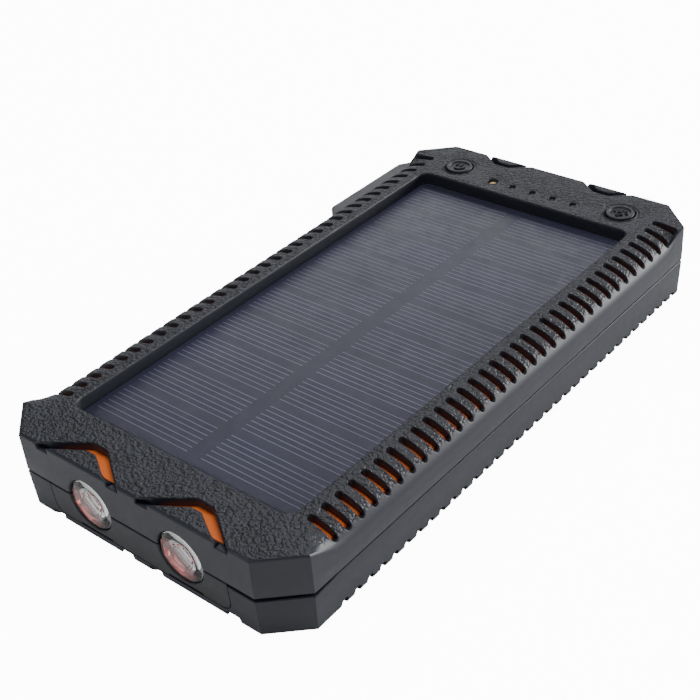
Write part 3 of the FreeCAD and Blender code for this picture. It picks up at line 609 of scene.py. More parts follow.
@dataclass(frozen=True)
class Disc(Opening):
    """A round hole."""

    x: float
    y: float
    radius: float

    def loops(self, offset: float) -> list[list[Point2]]:
        """Closed outlines at a distance outside the edge."""
        return [circle(self.x, self.y, self.radius + offset, 36 if self.radius > 2 else 20)]

    def distance(self, u: float, v: float) -> float:
        """Distance from a point of the sheet to the edge, negative inside."""
        return math.hypot(u - self.x, v - self.y) - self.radius


@dataclass(frozen=True)
class Pane(Opening):
    """A rectangular opening with round corners."""

    x_low: float
    x_high: float
    y_low: float
    y_high: float
    corner: float

    def loops(self, offset: float) -> list[list[Point2]]:
        """Closed outlines at a distance outside the edge."""
        return [rounded_rectangle(self.x_low - offset, self.x_high + offset, self.y_low - offset,
                                  self.y_high + offset, self.corner + offset, 8)]

    def distance(self, u: float, v: float) -> float:
        """Distance from a point of the sheet to the edge, negative inside.

        Args:
            u: the point's first coordinate.
            v: the point's second coordinate.

        Returns:
            The distance.
        """
        across = abs(u - (self.x_low + self.x_high) / 2) - (self.x_high - self.x_low) / 2 + self.corner
        along = abs(v - (self.y_low + self.y_high) / 2) - (self.y_high - self.y_low) / 2 + self.corner
        return math.hypot(max(across, 0.0), max(along, 0.0)) + min(max(across, along), 0.0) - self.corner


@dataclass(frozen=True)
class SlotRows(Opening):
    """The two rows of round-ended slots along the shoulders."""

    inner: float
    outer: float
    width: float
    pitch: float
    count: int
    first: float

    def loops(self, offset: float) -> list[list[Point2]]:
        """Closed outlines at a distance outside the edge.

        Args:
            offset: the distance.

        Returns:
            The outlines.
        """
        half = self.width / 2
        reach = half + offset
        outlines = []
        for number in range(self.count):
            row = self.first + number * self.pitch
            right = [(self.outer - half + reach * math.cos(math.radians(angle)),
                      row + reach * math.sin(math.radians(angle))) for angle in range(-90, 91, 22)]
            left = [(self.inner + half + reach * math.cos(math.radians(angle)),
                     row + reach * math.sin(math.radians(angle))) for angle in range(90, 271, 22)]
            ring = right + left
            outlines.append(ring)
            outlines.append([(-x, y) for x, y in reversed(ring)])
        return outlines

    def distance(self, u: float, v: float) -> float:
        """Distance from a point of the sheet to the edge, negative inside.

        Args:
            u: the point's first coordinate.
            v: the point's second coordinate.

        Returns:
            The distance.
        """
        number = min(max(round((v - self.first) / self.pitch), 0), self.count - 1)
        half = self.width / 2
        across = min(max(abs(u), self.inner + half), self.outer - half)
        return math.hypot(abs(u) - across, v - self.first - number * self.pitch) - half


@dataclass(frozen=True)
class Outline(Opening):
    """An opening of any outline, given counter-clockwise and nowhere wider than its reach."""

    ring: tuple[Point2, ...]
    reach: float = 40.0

    def loops(self, offset: float) -> list[list[Point2]]:
        """Closed outlines at a distance outside the edge.

        Args:
            offset: the distance.

        Returns:
            The outlines.
        """
        grown = []
        for index, point in enumerate(self.ring):
            here = Vector(point)
            before = (here - Vector(self.ring[index - 1])).normalized()
            after = (Vector(self.ring[(index + 1) % len(self.ring)]) - here).normalized()
            out_before, out_after = Vector((before.y, -before.x)), Vector((after.y, -after.x))
            mitre = (out_before + out_after) / (1.0 + out_before.dot(out_after))
            grown.append(tuple(here + mitre * offset))
        return [grown]

    def distance(self, u: float, v: float) -> float:
        """Distance from a point of the sheet to the edge, negative inside.

        Args:
            u: the point's first coordinate.
            v: the point's second coordinate.

        Returns:
            The distance.
        """
        away = math.hypot(u - self.ring[0][0], v - self.ring[0][1])
        if away > self.reach:
            return away - self.reach
        nearest, inside = 1e9, False
        for index, (end_x, end_y) in enumerate(self.ring):
            start_x, start_y = self.ring[index - 1]
            run_x, run_y = end_x - start_x, end_y - start_y
            share = ((u - start_x) * run_x + (v - start_y) * run_y) / (run_x * run_x + run_y * run_y)
            share = min(max(share, 0.0), 1.0)
            nearest = min(nearest, math.hypot(u - start_x - run_x * share, v - start_y - run_y * share))
            if (start_y > v) != (end_y > v) and u < start_x + run_x * (v - start_y) / run_y:
                inside = not inside
        return -nearest if inside else nearest


@dataclass(frozen=True)
class Beyond(Opening):
    """All of the sheet outside a shape, which leaves a plate."""

    shape: Opening

    def loops(self, offset: float) -> list[list[Point2]]:
        """Closed outlines at a distance outside the edge."""
        return self.shape.loops(-offset)

    def distance(self, u: float, v: float) -> float:
        """Distance from a point of the sheet to the edge, negative inside."""
        return -self.shape.distance(u, v)


@dataclass(frozen=True)
class Groove:
    """A shallow ring pressed into the sheet."""

    x: float
    y: float
    radius: float
    width: float
    depth: float

    def loops(self) -> list[list[Point2]]:
        """The rings that the groove needs."""
        return [circle(self.x, self.y, self.radius + share * self.width, 36)
                for share in (-1.0, -0.6, -0.2, 0.2, 0.6, 1.0)]

    def fall(self, u: float, v: float) -> float:
        """The groove's depth at a point."""
        away = abs(math.hypot(u - self.x, v - self.y) - self.radius) / self.width
        return self.depth * (0.5 + 0.5 * math.cos(math.pi * away)) if away < 1.0 else 0.0


# ---- the case form ---------------------------------------------------------------------------


@dataclass(frozen=True)
class CaseForm:
    """The octagonal case form of one cover, with its face up.

    A point of the flat sheet lies on the face where it is inside the outline, and folds over the
    rounded edge and down the wall where it is nearer than the edge's radius or outside.
    """

    half_width: float
    half_length: float
    height: float
    seam: float
    draft: float = 0.0
    corner_across: float = 7.5
    corner_along: float = 7.0
    shoulder_start: float = 29.6
    shoulder_radius: float = 12.5
    edge_round: float = 0.55
    side_round: float = 2.0
    front_fade: tuple[float, float] = (6.5, 15.0)
    rear_fade: tuple[float, float] = (6.6, 13.0)
    round_fade: tuple[float, float] = (7.0, 11.5)
    draft_reach: float = 8.0
    sheet_wall: float = 8.4
    wall: float = 1.2
    seam_open: float = 0.0
    gape_across: tuple[float, float] = (23.2, 23.8)
    gape_along: tuple[float, float] = (7.0, 9.0)

    def corners(self) -> list[tuple[Vector, Vector]]:
        """The octagon's corners and how each moves per millimetre of inset.

        Returns:
            Corner and mitre vectors, counter-clockwise from the right side's front end.
        """
        width, length = self.half_width, self.half_length
        end, side = width - self.corner_across, length - self.corner_along
        ring = [Vector(point) for point in ((width, -side), (width, side), (end, length), (-end, length),
                                            (-width, side), (-width, -side), (-end, -length), (end, -length))]
        found = []
        for index, corner in enumerate(ring):
            before = (corner - ring[index - 1]).normalized()
            after = (ring[(index + 1) % 8] - corner).normalized()
            in_before, in_after = Vector((-before.y, before.x)), Vector((-after.y, after.x))
            mitre = (in_before + in_after) / (1.0 + in_before.dot(in_after))
            found.append((corner, mitre))
        return found

    def outline(self, inset: float, corners: list[tuple[Vector, Vector]]) -> list[Point2]:
        """The octagon at an inset."""
        return [tuple(corner + mitre * inset) for corner, mitre in corners]


class Wrap:
    """Carries points of the flat sheet onto a case form."""

    INNER_SPREAD = 0.01
    INNER_SAG = 0.005
    SAG_REACH = 2.0

    def __init__(self, form: CaseForm) -> None:
        """Work out the form's sides once.

        Args:
            form: the case form.
        """
        self.form = form
        self.corners = form.corners()
        self.sides = []
        for index in range(8):
            start, start_mitre = self.corners[index]
            end, end_mitre = self.corners[(index + 1) % 8]
            run = (end - start).normalized()
            self.sides.append((start, start_mitre, end, end_mitre, run, Vector((-run.y, run.x))))

    def inset(self, u: float, v: float) -> tuple[float, int]:
        """How far inside the outline a point is, and the side it belongs to.

        Args:
            u: the point's first coordinate.
            v: the point's second coordinate.

        Returns:
            The inset, negative outside, and the side's number.
        """
        point = Vector((u, v))
        best, side = 1e9, 0
        for index, (start, _, _, _, _, inward) in enumerate(self.sides):
            depth = (point - start).dot(inward)
            if depth < best:
                best, side = depth, index
        return best, side

    def fade(self, y: float) -> float:
        """Where the shoulders are at their full depth, as a share.

        Args:
            y: the place along the case.

        Returns:
            0 at the corners and 1 along the slots.
        """
        form, end = self.form, self.form.half_length
        if y < 0:
            return smooth(y, -end + form.front_fade[0], -end + form.front_fade[1])
        return 1.0 - smooth(y, end - form.rear_fade[1], end - form.rear_fade[0])

    def shoulder(self, x: float, y: float) -> float:
        """The fall of the rolled shoulder below the face.

        Args:
            x: place across the case.
            y: place along the case.

        Returns:
            The fall.
        """
        form = self.form
        reach = min(max(abs(x) - form.shoulder_start, 0.0), form.half_width - form.shoulder_start)
        return (form.shoulder_radius - math.sqrt(form.shoulder_radius ** 2 - reach ** 2)) * self.fade(y)

    def radius(self, side: int, v: float) -> float:
        """The edge's rounding, larger along the shoulders.

        Args:
            side: the side's number.
            v: place along the sheet.

        Returns:
            The radius.
        """
        form = self.form
        if side not in (0, 4):
            return form.edge_round
        near, far = form.round_fade
        share = 1.0 - smooth(abs(v), form.half_length - far, form.half_length - near)
        return form.edge_round + (form.side_round - form.edge_round) * share

    def place(self, u: float, v: float, behind: float = 0.0) -> Vector:
        """A sheet point's place on the form, before rims and grooves.

        Args:
            u: the point's first coordinate.
            v: the point's second coordinate.
            behind: how far inside the form, measured squarely to the face and the walls.

        Returns:
            The place, with the form's face up.
        """
        form = self.form
        depth, side = self.inset(u, v)
        radius = self.radius(side, v)
        bottom = radius - math.pi * radius / 2
        share, fall = 0.0, 0.0
        if depth >= radius:
            inset = depth + form.draft * (1.0 - smooth(depth, radius, radius + form.draft_reach))
        elif depth >= bottom:
            angle = (radius - depth) / radius
            inset, fall = radius - radius * math.sin(angle) + form.draft, radius * (1.0 - math.cos(angle))
        else:
            share, fall = (bottom - depth) / (bottom + form.sheet_wall), radius
            inset = form.draft * (1.0 - share)
        if behind:
            inset = max(inset, behind + self.INNER_SPREAD * (depth + form.sheet_wall))
        start, start_mitre, end, end_mitre, run, _ = self.sides[side]
        low, high = start + start_mitre * depth, end + end_mitre * depth
        share_along = (Vector((u, v)) - low).dot(run) / (high - low).length
        near, far = start + start_mitre * inset, end + end_mitre * inset
        spot = near + (far - near) * share_along
        top = form.height - self.shoulder(spot.x, spot.y)
        level = top - fall
        if share:
            level += (form.seam + form.seam_open * self.gape(spot) - level) * share
        if behind:
            level = min(level, top - behind - self.INNER_SAG * (self.SAG_REACH - min(depth, self.SAG_REACH)))
        return Vector((spot.x, spot.y, level))

    def gape(self, spot: Vector) -> float:
        """Where the seam stands open a little, round the right front corner.

        Args:
            spot: place on the wall.

        Returns:
            A share from 0 to 1.
        """
        form = self.form
        along = smooth(spot.y + form.half_length, *form.gape_along)
        return smooth(spot.x, *form.gape_across) * (1.0 - along)

    def normal(self, u: float, v: float) -> Vector:
        """The outward normal at a sheet point.

        Args:
            u: the point's first coordinate.
            v: the point's second coordinate.

        Returns:
            The unit normal.
        """
        step = 0.01
        across = self.place(u + step, v) - self.place(u - step, v)
        along = self.place(u, v + step) - self.place(u, v - step)
        return across.cross(along).normalized()

    def wall_top(self, wall: "Wall") -> float:
        """Height at which a wall meets its rounded edge.

        Args:
            wall: which wall.

        Returns:
            The height with the face up.
        """
        form = self.form
        if wall is Wall.LEFT:
            return form.height - self.shoulder(form.half_width, 0.0) - form.side_round
        return form.height - form.edge_round

    def wall_sizes(self, wall: "Wall") -> tuple[float, float, float, float]:
        """What ties places on a wall to the sheet.

        Args:
            wall: which wall.

        Returns:
            The inset at the wall's top, the height there, the corner's mitre and the wall's half length.
        """
        form, left = self.form, wall is Wall.LEFT
        bottom = (form.side_round if left else form.edge_round) * (1.0 - math.pi / 2)
        mitre = abs(self.corners[0][1].y) if left else abs(self.corners[7][1].x)
        end = form.half_length - form.corner_along if left else form.half_width - form.corner_across
        return bottom, self.wall_top(wall), mitre, end

    def wall_point(self, along: float, z: float, wall: "Wall") -> Point2:
        """The sheet point of a place on a wall.

        Args:
            along: place along the wall, across the case or along it.
            z: height with the face up.
            wall: which wall.

        Returns:
            The sheet point.
        """
        form = self.form
        bottom, top, mitre, end = self.wall_sizes(wall)
        depth = bottom - (top - z) / (top - form.seam) * (bottom + form.sheet_wall)
        spot = along * (end - mitre * depth) / end
        if wall is Wall.LEFT:
            return (depth - form.half_width, spot)
        return (spot, form.half_length - depth if wall is Wall.REAR else depth - form.half_length)

    def wall_place(self, u: float, v: float, wall: "Wall") -> Point2:
        """The reverse of wall_point.

        Args:
            u: the sheet point's first coordinate.
            v: the sheet point's second coordinate.
            wall: which wall.

        Returns:
            Place along the wall and height with the face up.
        """
        form, left = self.form, wall is Wall.LEFT
        depth = form.half_width + u if left else form.half_length - abs(v)
        bottom, top, mitre, end = self.wall_sizes(wall)
        return ((v if left else u) * end / (end - mitre * depth),
                top - (bottom - depth) / (bottom + form.sheet_wall) * (top - form.seam))


class Wall(Enum):
    """A wall that openings are drawn on."""

    FRONT = (0, -1)
    REAR = (0, 1)
    LEFT = (-1, 0)


@dataclass(frozen=True)
class OnWall(Opening):
    """An opening drawn on a wall instead of on the sheet, with the distance that holds off that wall."""

    shape: Opening
    wrap: Wrap
    wall: Wall
    elsewhere: float = FAR
    shoulder: float = 1.0

    def loops(self, offset: float) -> list[list[Point2]]:
        """Closed outlines at a distance outside the edge."""
        return [[self.wrap.wall_point(along, z, self.wall) for along, z in ring]
                for ring in self.shape.loops(offset)]

    def distance(self, u: float, v: float) -> float:
        """Distance from a point of the sheet to the edge, negative inside.

        Args:
            u: the point's first coordinate.
            v: the point's second coordinate.

        Returns:
            The distance.
        """
        form, (across, length) = self.wrap.form, self.wall.value
        short = across * u + length * v < (form.half_width if across else form.half_length) - self.shoulder
        if short or (across and abs(v) > form.half_length - form.corner_along):
            return self.elsewhere
        return self.shape.distance(*self.wrap.wall_place(u, v, self.wall))


class CoverSheet:
    """Cuts a flat sheet by its openings and wraps it over a case form as a closed shell."""

    WELD = 1e-5
    RIM_SHARES = (0.0, 0.12, 0.45, 1.0, 1.35)
    EDGE_LOOPS = (2.1, 1.7, 1.3, 0.95, 0.72, 0.5, 0.28, 0.08, -0.1, -0.3, -0.52, -0.8, -1.15, -2.4, -4.6)
    SEAM_RIM = 0.22
    SEAM_SHARES = (1.0, 0.45, 0.12, 0.0)
    SIDE_SPLITS = (20, 2, 6, 2)
    SHOULDER_LINES = 9
    SHOULDER_STEP = 0.85
    FRONT_START = 8.0
    REAR_STOP = 1.0
    FADE_LINES = (-64.4, -62.8, -61.2, -59.6, 58.6, 60.0, 61.4, 62.8, 64.2, 64.9)
    FADE_STOP = 0.3
    CORNER_SLOPE = 1.07
    LONG_GRAIN = (0.5, 2.2)
    SHORT_GRAIN = (0.25, 0.8)

    def __init__(self, form: CaseForm, openings: Sequence[Opening], grooves: Sequence[Groove] = (),
                 sunk: float = 0.0) -> None:
        """Keep what the sheet is cut by.

        Args:
            form: the case form.
            openings: what is cut through.
            grooves: what is pressed in.
            sunk: how far the whole sheet lies inside the form.
        """
        self.sunk = sunk
        self.form = form
        self.wrap = Wrap(form)
        self.openings = openings
        self.grooves = grooves
        self.verts: list[Point2] = []
        self.edges: list[tuple[int, int]] = []

    def ring(self, points: Sequence[Point2], closed: bool = True) -> None:
        """Add a line that the triangulation must follow.

        Args:
            points: the line's points.
            closed: whether it runs back to its start.
        """
        base, count = len(self.verts), len(points)
        self.verts.extend(points)
        self.edges.extend((base + step, base + (step + 1) % count)
                          for step in range(count if closed else count - 1))

    def draw(self) -> None:
        """Draw every line on the flat sheet."""
        form, wrap = self.form, self.wrap
        bottom = -form.sheet_wall
        for inset in (*self.EDGE_LOOPS, *(bottom + self.SEAM_RIM * share for share in self.SEAM_SHARES)):
            corners = form.outline(inset, wrap.corners)
            line: list[Point2] = []
            for index, start in enumerate(corners):
                end = corners[(index + 1) % 8]
                pieces = self.SIDE_SPLITS[index % 4]
                line += [(start[0] + (end[0] - start[0]) * step / pieces,
                          start[1] + (end[1] - start[1]) * step / pieces) for step in range(pieces)]
            self.ring(line)
        reach = form.half_length - form.corner_along
        for step in range(self.SHOULDER_LINES):
            across = form.shoulder_start + self.SHOULDER_STEP * step
            for sign in (-1, 1):
                self.ring([(sign * across, -reach + (self.FRONT_START - across / 5.0)),
                           (sign * across, reach - self.REAR_STOP)], False)
        for along in self.FADE_LINES:
            for sign in (-1, 1):
                limit = form.half_width - self.FADE_STOP - max(0.0, abs(along) - reach) * self.CORNER_SLOPE
                self.ring([(sign * form.shoulder_start, along), (sign * limit, along)], False)
        for opening in self.openings:
            for share in self.RIM_SHARES:
                for outline in opening.loops(share * opening.rim):
                    self.ring(outline)
        for groove in self.grooves:
            for outline in groove.loops():
                self.ring(outline)

    def clear(self, u: float, v: float) -> bool:
        """Whether a point of the sheet is solid.

        Args:
            u: the point's first coordinate.
            v: the point's second coordinate.

        Returns:
            True where there is material.
        """
        if self.wrap.inset(u, v)[0] < -self.form.sheet_wall:
            return False
        return all(opening.distance(u, v) > 0 for opening in self.openings)

    def fall(self, u: float, v: float, depth: float) -> float:
        """How far rims and grooves lower a point.

        Args:
            u: the point's first coordinate.
            v: the point's second coordinate.
            depth: inset from the outline.

        Returns:
            The fall along the normal.
        """
        lowered = roll_drop(depth + self.form.sheet_wall, self.SEAM_RIM)
        for opening in self.openings:
            lowered = max(lowered, roll_drop(opening.distance(u, v), opening.rim))
        return lowered + sum(groove.fall(u, v) for groove in self.grooves)

    def grain(self, u: float, v: float, depth: float, side: int) -> float:
        """How strongly the leather grain shows at a point.

        Args:
            u: the point's first coordinate.
            v: the point's second coordinate.
            depth: inset from the outline.
            side: the side's number.

        Returns:
            A share from 0 to 1.
        """
        edge = smooth(depth, *(self.LONG_GRAIN if side in (0, 4) else self.SHORT_GRAIN))
        if edge <= 0:
            return 0.0
        rims = [smooth(opening.distance(u, v), 0.0, opening.rim) for opening in self.openings]
        rings = [smooth(abs(math.hypot(u - groove.x, v - groove.y) - groove.radius), 0.0, groove.width)
                 for groove in self.grooves]
        return edge * min(rims + rings)

    def build(self, under: bool) -> Sheet:
        """Triangulate, wrap and close the shell.

        Args:
            under: whether the cover lies with its face down.

        Returns:
            The shell.
        """
        self.draw()
        flat, _, triangles, *_ = delaunay_2d_cdt([Vector(point) for point in self.verts], self.edges, [], 0,
                                                 self.WELD, False)
        kept = [tri for tri in triangles
                if self.clear(sum(flat[i].x for i in tri) / 3, sum(flat[i].y for i in tri) / 3)]
        used = sorted({index for tri in kept for index in tri})
        number = {index: place for place, index in enumerate(used)}
        outer, inner, grains = [], [], []
        for index in used:
            u, v = flat[index]
            depth, side = self.wrap.inset(u, v)
            outer.append(self.wrap.place(u, v, self.sunk) - self.wrap.normal(u, v) * self.fall(u, v, depth))
            inner.append(self.wrap.place(u, v, self.sunk + self.form.wall))
            grains.append(self.grain(u, v, depth, side))
        sheet = Sheet()
        count = len(used)
        top = [tuple(number[index] for index in tri) for tri in kept]
        faces = top + [tuple(index + count for index in tri[::-1]) for tri in top]
        directed = {(tri[step], tri[(step + 1) % 3]) for tri in top for step in range(3)}
        faces += [(a, a + count, b + count, b) for a, b in directed if (b, a) not in directed]
        points = outer + inner
        if under:
            points = [Vector((point.x, point.y, self.form.height - point.z)) for point in points]
        sheet.add(points, faces, flip=under)
        sheet.grain = {index: value for index, value in enumerate(grains + [0.0] * count)}
        return sheet


# ---- sub-assemblies --------------------------------------------------------------------------


@dataclass(frozen=True)
class Chevron:
    """An arch-shaped groove that runs off one end of the face, sized by its outer edge."""

    offset: float
    reach: float
    rise: float
    leg: float
    wall: Wall
    land: float = 2.0
    past: float = 1.05
    taper: float = 0.27
    bend: float = 2.2
    foot_bend: float = 0.8
    heel_bend: float = 0.6

    def outline(self, side: int, half_length: float, rim: float) -> Outline:
        """The groove's opening on one side of the case.

        Args:
            side: -1 for the left side and 1 for the right one.
            half_length: half the case's length.
            rim: the opening's rounded rim.

        Returns:
            The opening.
        """
        reach, rise, leg, land, past = self.reach, self.rise, self.leg, self.land, self.past
        inner_rise = rise - leg * rise / (reach - land)
        bend, inner_land = min(self.bend, rise * 0.5), land - self.taper * leg
        corners = [(-reach, -past, 0.0), (-reach + leg, -past, 0.0), (-reach + leg, 0.0, self.heel_bend),
                   (-inner_land, inner_rise, bend * 0.5), (inner_land, inner_rise, bend * 0.5),
                   (reach - leg, 0.0, self.heel_bend), (reach - leg, -past, 0.0), (reach, -past, 0.0),
                   (reach, 0.0, self.foot_bend), (land, rise, bend), (-land, rise, bend),
                   (-reach, 0.0, self.foot_bend)]
        middle = side * self.offset
        if self.wall is Wall.REAR:
            placed = [(middle - x, half_length - y, radius) for x, y, radius in corners]
        else:
            placed = [(middle + x, y - half_length, radius) for x, y, radius in corners]
        return Outline(rim, filleted(placed))


@dataclass
class Covers:
    """The two black covers, the torch panel between them and the swelling for the lighter."""

    half_width: float = 37.5
    half_length: float = 71.5
    height: float = 18.0
    middle: float = 9.0
    seam_gap: float = 0.3
    seam_open: float = 0.45
    below_seam: float = 5.0
    rim: float = 0.3
    wall: float = 1.7
    draft: float = 0.35
    top_shoulder: float = 12.5
    under_shoulder: float = 200.0
    top_round: float = 2.0
    under_round: float = 0.5
    slots: SlotRows = SlotRows(0.16, 30.8, 37.0, 1.5, 3.62, 34, -57.35)
    tooth_reach: float = 38.7
    chevrons: tuple[Chevron, Chevron] = (Chevron(13.8, 11.4, 6.3, 3.0, Wall.FRONT),
                                         Chevron(14.0, 6.8, 3.5, 1.6, Wall.REAR))
    track_front: float = 33.5
    track_rear: float = 58.0
    bay_play: float = 0.2
    bay_corner: float = 0.8
    lens_bore: float = 5.6
    bore_rim: float = 0.35
    panel_play: float = 0.15
    panel_corner: float = 2.5
    slit_half: float = 4.5
    window_play: float = 0.2
    window_corner: float = 2.5
    window_rim: float = 0.4
    skirt_wall: float = 1.0
    skirt_foot: float = 14.45
    button_radius: float = 3.27
    button_play: float = 0.18
    button_rim: float = 0.4
    button_groove: tuple[float, float, float] = (4.15, 0.34, 0.17)
    lamps: int = 5
    lamp_first: float = -11.2
    lamp_pitch: float = 5.6
    lamp_hole: float = 0.75
    charge_hole: float = 1.2
    lamp_rim: float = 0.3
    lamp_groove: tuple[float, float, float] = (0.55, 0.3, 0.1)
    screw_head: float = 1.9
    screw_bore: float = 2.05
    screw_rim: float = 0.2
    lip_insets: tuple[float, float] = (0.75, 1.15)
    lip_levels: tuple[float, float] = (8.2, 9.95)
    lip_breaks: tuple[float, float, float] = (6.2, 17.9, 23.3)
    lip_sides: tuple[float, float] = (33.1, 58.4)
    housing_depth: float = 2.0
    housing_wall: float = 0.8
    housing_seam: float = 0.1
    housing_rim: float = 0.2
    boss_hole: float = 2.3
    boss_place: tuple[float, float] = (29.6, 66.2)
    board_play: float = 1.4
    board_corner: float = 2.0
    key_hole: float = 4.6
    key_place: tuple[float, float] = (22.6, 62.0)
    lamp_slit: tuple[float, float, float] = (13.0, 58.4, 61.6)

    def form(self, under: bool) -> CaseForm:
        """The case form of one cover.

        Args:
            under: whether it is the lower one.

        Returns:
            The form.
        """
        return CaseForm(self.half_width, self.half_length, self.height, self.middle + self.seam_gap / 2,
                        draft=self.draft if under else 0.0, seam_open=self.seam_open if under else 0.0,
                        wall=self.wall, shoulder_radius=self.under_shoulder if under else self.top_shoulder,
                        side_round=self.under_round if under else self.top_round)

    def face_openings(self, under: bool) -> list[Opening]:
        """The openings that both covers have.

        Args:
            under: whether it is the lower cover, whose slots run out over the edge.

        Returns:
            Slots and chevrons.
        """
        found: list[Opening] = [replace(self.slots, outer=self.tooth_reach) if under else self.slots]
        for side in (-1, 1):
            found += [chevron.outline(side, self.half_length, self.rim) for chevron in self.chevrons]
        return found

    def wall_openings(self, wrap: Wrap, under: bool) -> list[Opening]:
        """The openings of the walls.

        Args:
            wrap: the cover's wrap.
            under: whether it is the lower cover.

        Returns:
            The bay mouth, the lighter's track, and the lens bores or the torch panel's opening.
        """
        low, high = box_mm("port_cover")
        play = self.bay_play
        bay = Pane(0.15, low.x - play, high.x + play, self.below_seam, high.z + play, self.bay_corner)
        track = Pane(0.05, self.track_front - play, self.track_rear + play, self.below_seam,
                     wrap.wall_top(Wall.LEFT) - play, 0.1)
        found: list[Opening] = [OnWall(0.15, bay, wrap, Wall.REAR), OnWall(0.05, track, wrap, Wall.LEFT)]
        if under:
            low, high = box_mm("torch_panel")
            edge = self.panel_play
            pane = Pane(0.12, low.x - edge, high.x + edge, self.below_seam - 1.0, self.height - low.z + edge,
                        self.panel_corner)
            found.append(OnWall(0.12, pane, wrap, Wall.FRONT))
        else:
            found += self.bores(wrap, False)
        return found

    def bores(self, wrap: Wrap, under: bool) -> list[Opening]:
        """The round openings in front of the lenses.

        Args:
            wrap: the cover's wrap.
            under: whether the wall lies with its face down.

        Returns:
            Both bores.
        """
        found: list[Opening] = []
        for node in ("left_lens", "right_lens"):
            low, high = box_mm(node)
            middle = (low + high) / 2
            level = self.height - middle.z if under else middle.z
            bore = Disc(self.bore_rim, middle.x, level, self.lens_bore)
            found.append(OnWall(self.bore_rim, bore, wrap, Wall.FRONT))
        return found

    def build(self) -> None:
        """Build all pieces."""
        self.housing()
        self.upper()
        self.lower()
        self.panel()

    def upper(self) -> None:
        """The upper cover with its window, button, lamp and lens openings."""
        form = self.form(False)
        openings = self.face_openings(False) + self.wall_openings(Wrap(form), False)
        low, high = box_mm("solar_glazing")
        edge = self.window_play
        window = Pane(self.window_rim, low.x - edge, high.x + edge, low.y - edge, high.y + edge,
                      self.window_corner)
        openings.append(window)
        grooves = []
        for node in ("power_button", "torch_button"):
            low, high = box_mm(node)
            x, y = (low.x + high.x) / 2, (low.y + high.y) / 2
            openings.append(Disc(self.button_rim, x, y, self.button_radius + self.button_play))
            grooves.append(Groove(x, y, *self.button_groove))
        low, high = box_mm("light_pipes")
        row = (low.y + high.y) / 2
        wider, *groove = self.lamp_groove
        for step in range(self.lamps):
            x, hole = self.lamp_first + self.lamp_pitch * step, self.lamp_hole if step else self.charge_hole
            openings.append(Disc(self.lamp_rim, x, row, hole))
            grooves.append(Groove(x, row, hole + wider, *groove))
        sheet = CoverSheet(form, openings, grooves).build(False)
        outline, behind = window.loops(0.0)[0], window.loops(self.skirt_wall)[0]
        top, foot = self.height - self.wall, self.skirt_foot
        rings = [[(x, y, level) for x, y in line]
                 for line, level in ((outline, top), (outline, foot), (behind, foot), (behind, top))]
        sheet.loft([*rings, rings[0]])
        self.swelling(sheet, False)
        sheet.piece("upper_cover", Kind.COVER, "case", ["upper_shell"])

    def lower(self) -> None:
        """The lower cover with its slots, chevrons, screw recesses and inner lip."""
        form = self.form(True)
        wrap = Wrap(form)
        openings = self.face_openings(True) + self.wall_openings(wrap, True)
        low, high = box_mm("case_screws")
        for across in (low.x + self.screw_head, high.x - self.screw_head):
            for along in (low.y + self.screw_head, high.y - self.screw_head):
                openings.append(Disc(self.screw_rim, across, along, self.screw_bore))
        sheet = CoverSheet(form, openings).build(True)
        self.lip(sheet, *([Vector(point) for point in form.outline(inset, wrap.corners)]
                          for inset in self.lip_insets))
        self.swelling(sheet, True)
        sheet.piece("lower_cover", Kind.COVER, "case", ["lower_shell"])

    def lip(self, sheet: Sheet, outer: Sequence[Vector], inner: Sequence[Vector]) -> None:
        """Add the inner lip behind the parting line, broken where openings cross it.

        Args:
            sheet: the lower cover's mesh.
            outer: the lip's outer outline.
            inner: its inner outline.
        """
        foot, top = self.lip_levels
        between, lens, bay = self.lip_breaks
        track_front, track_rear = self.lip_sides
        runs = []
        for line in (outer, inner):
            front, rear, left = line[6].y, line[2].y, line[4].x
            runs.append((
                [Vector((lens, front)), line[7], line[0], line[1], line[2], Vector((bay, rear))],
                [Vector((-bay, rear)), line[3], line[4], Vector((left, track_rear))],
                [Vector((left, track_front)), line[5], line[6], Vector((-lens, front))],
                [Vector((-between, front)), Vector((between, front))]))
        for near, far in zip(*runs):
            sheet.loft([[(a.x, a.y, foot), (a.x, a.y, top), (b.x, b.y, top), (b.x, b.y, foot)]
                        for a, b in zip(near, far)], caps=True)

    def panel(self) -> None:
        """The smooth plate round the lower halves of the lenses."""
        form = self.form(True)
        wrap = Wrap(form)
        low, high = box_mm("torch_panel")
        plate = Pane(0.14, low.x, high.x, self.below_seam - 1.0, self.height - low.z, self.panel_corner - 0.1)
        openings: list[Opening] = [OnWall(0.14, Beyond(0.14, plate), wrap, Wall.FRONT, -FAR),
                                   *self.bores(wrap, True)]
        for node in ("left_lens", "right_lens"):
            start, end = box_mm(node)
            middle = (start.x + end.x) / 2
            slit = Pane(0.1, middle - self.slit_half, middle + self.slit_half, self.height - low.z - 0.4,
                        self.height, 0.3)
            openings.append(OnWall(0.1, slit, wrap, Wall.FRONT))
        sheet = CoverSheet(form, openings).build(True)
        sheet.grain = {index: 0.0 for index in sheet.grain}
        sheet.piece("torch_plate", Kind.PANEL, "case", ["torch_panel"])

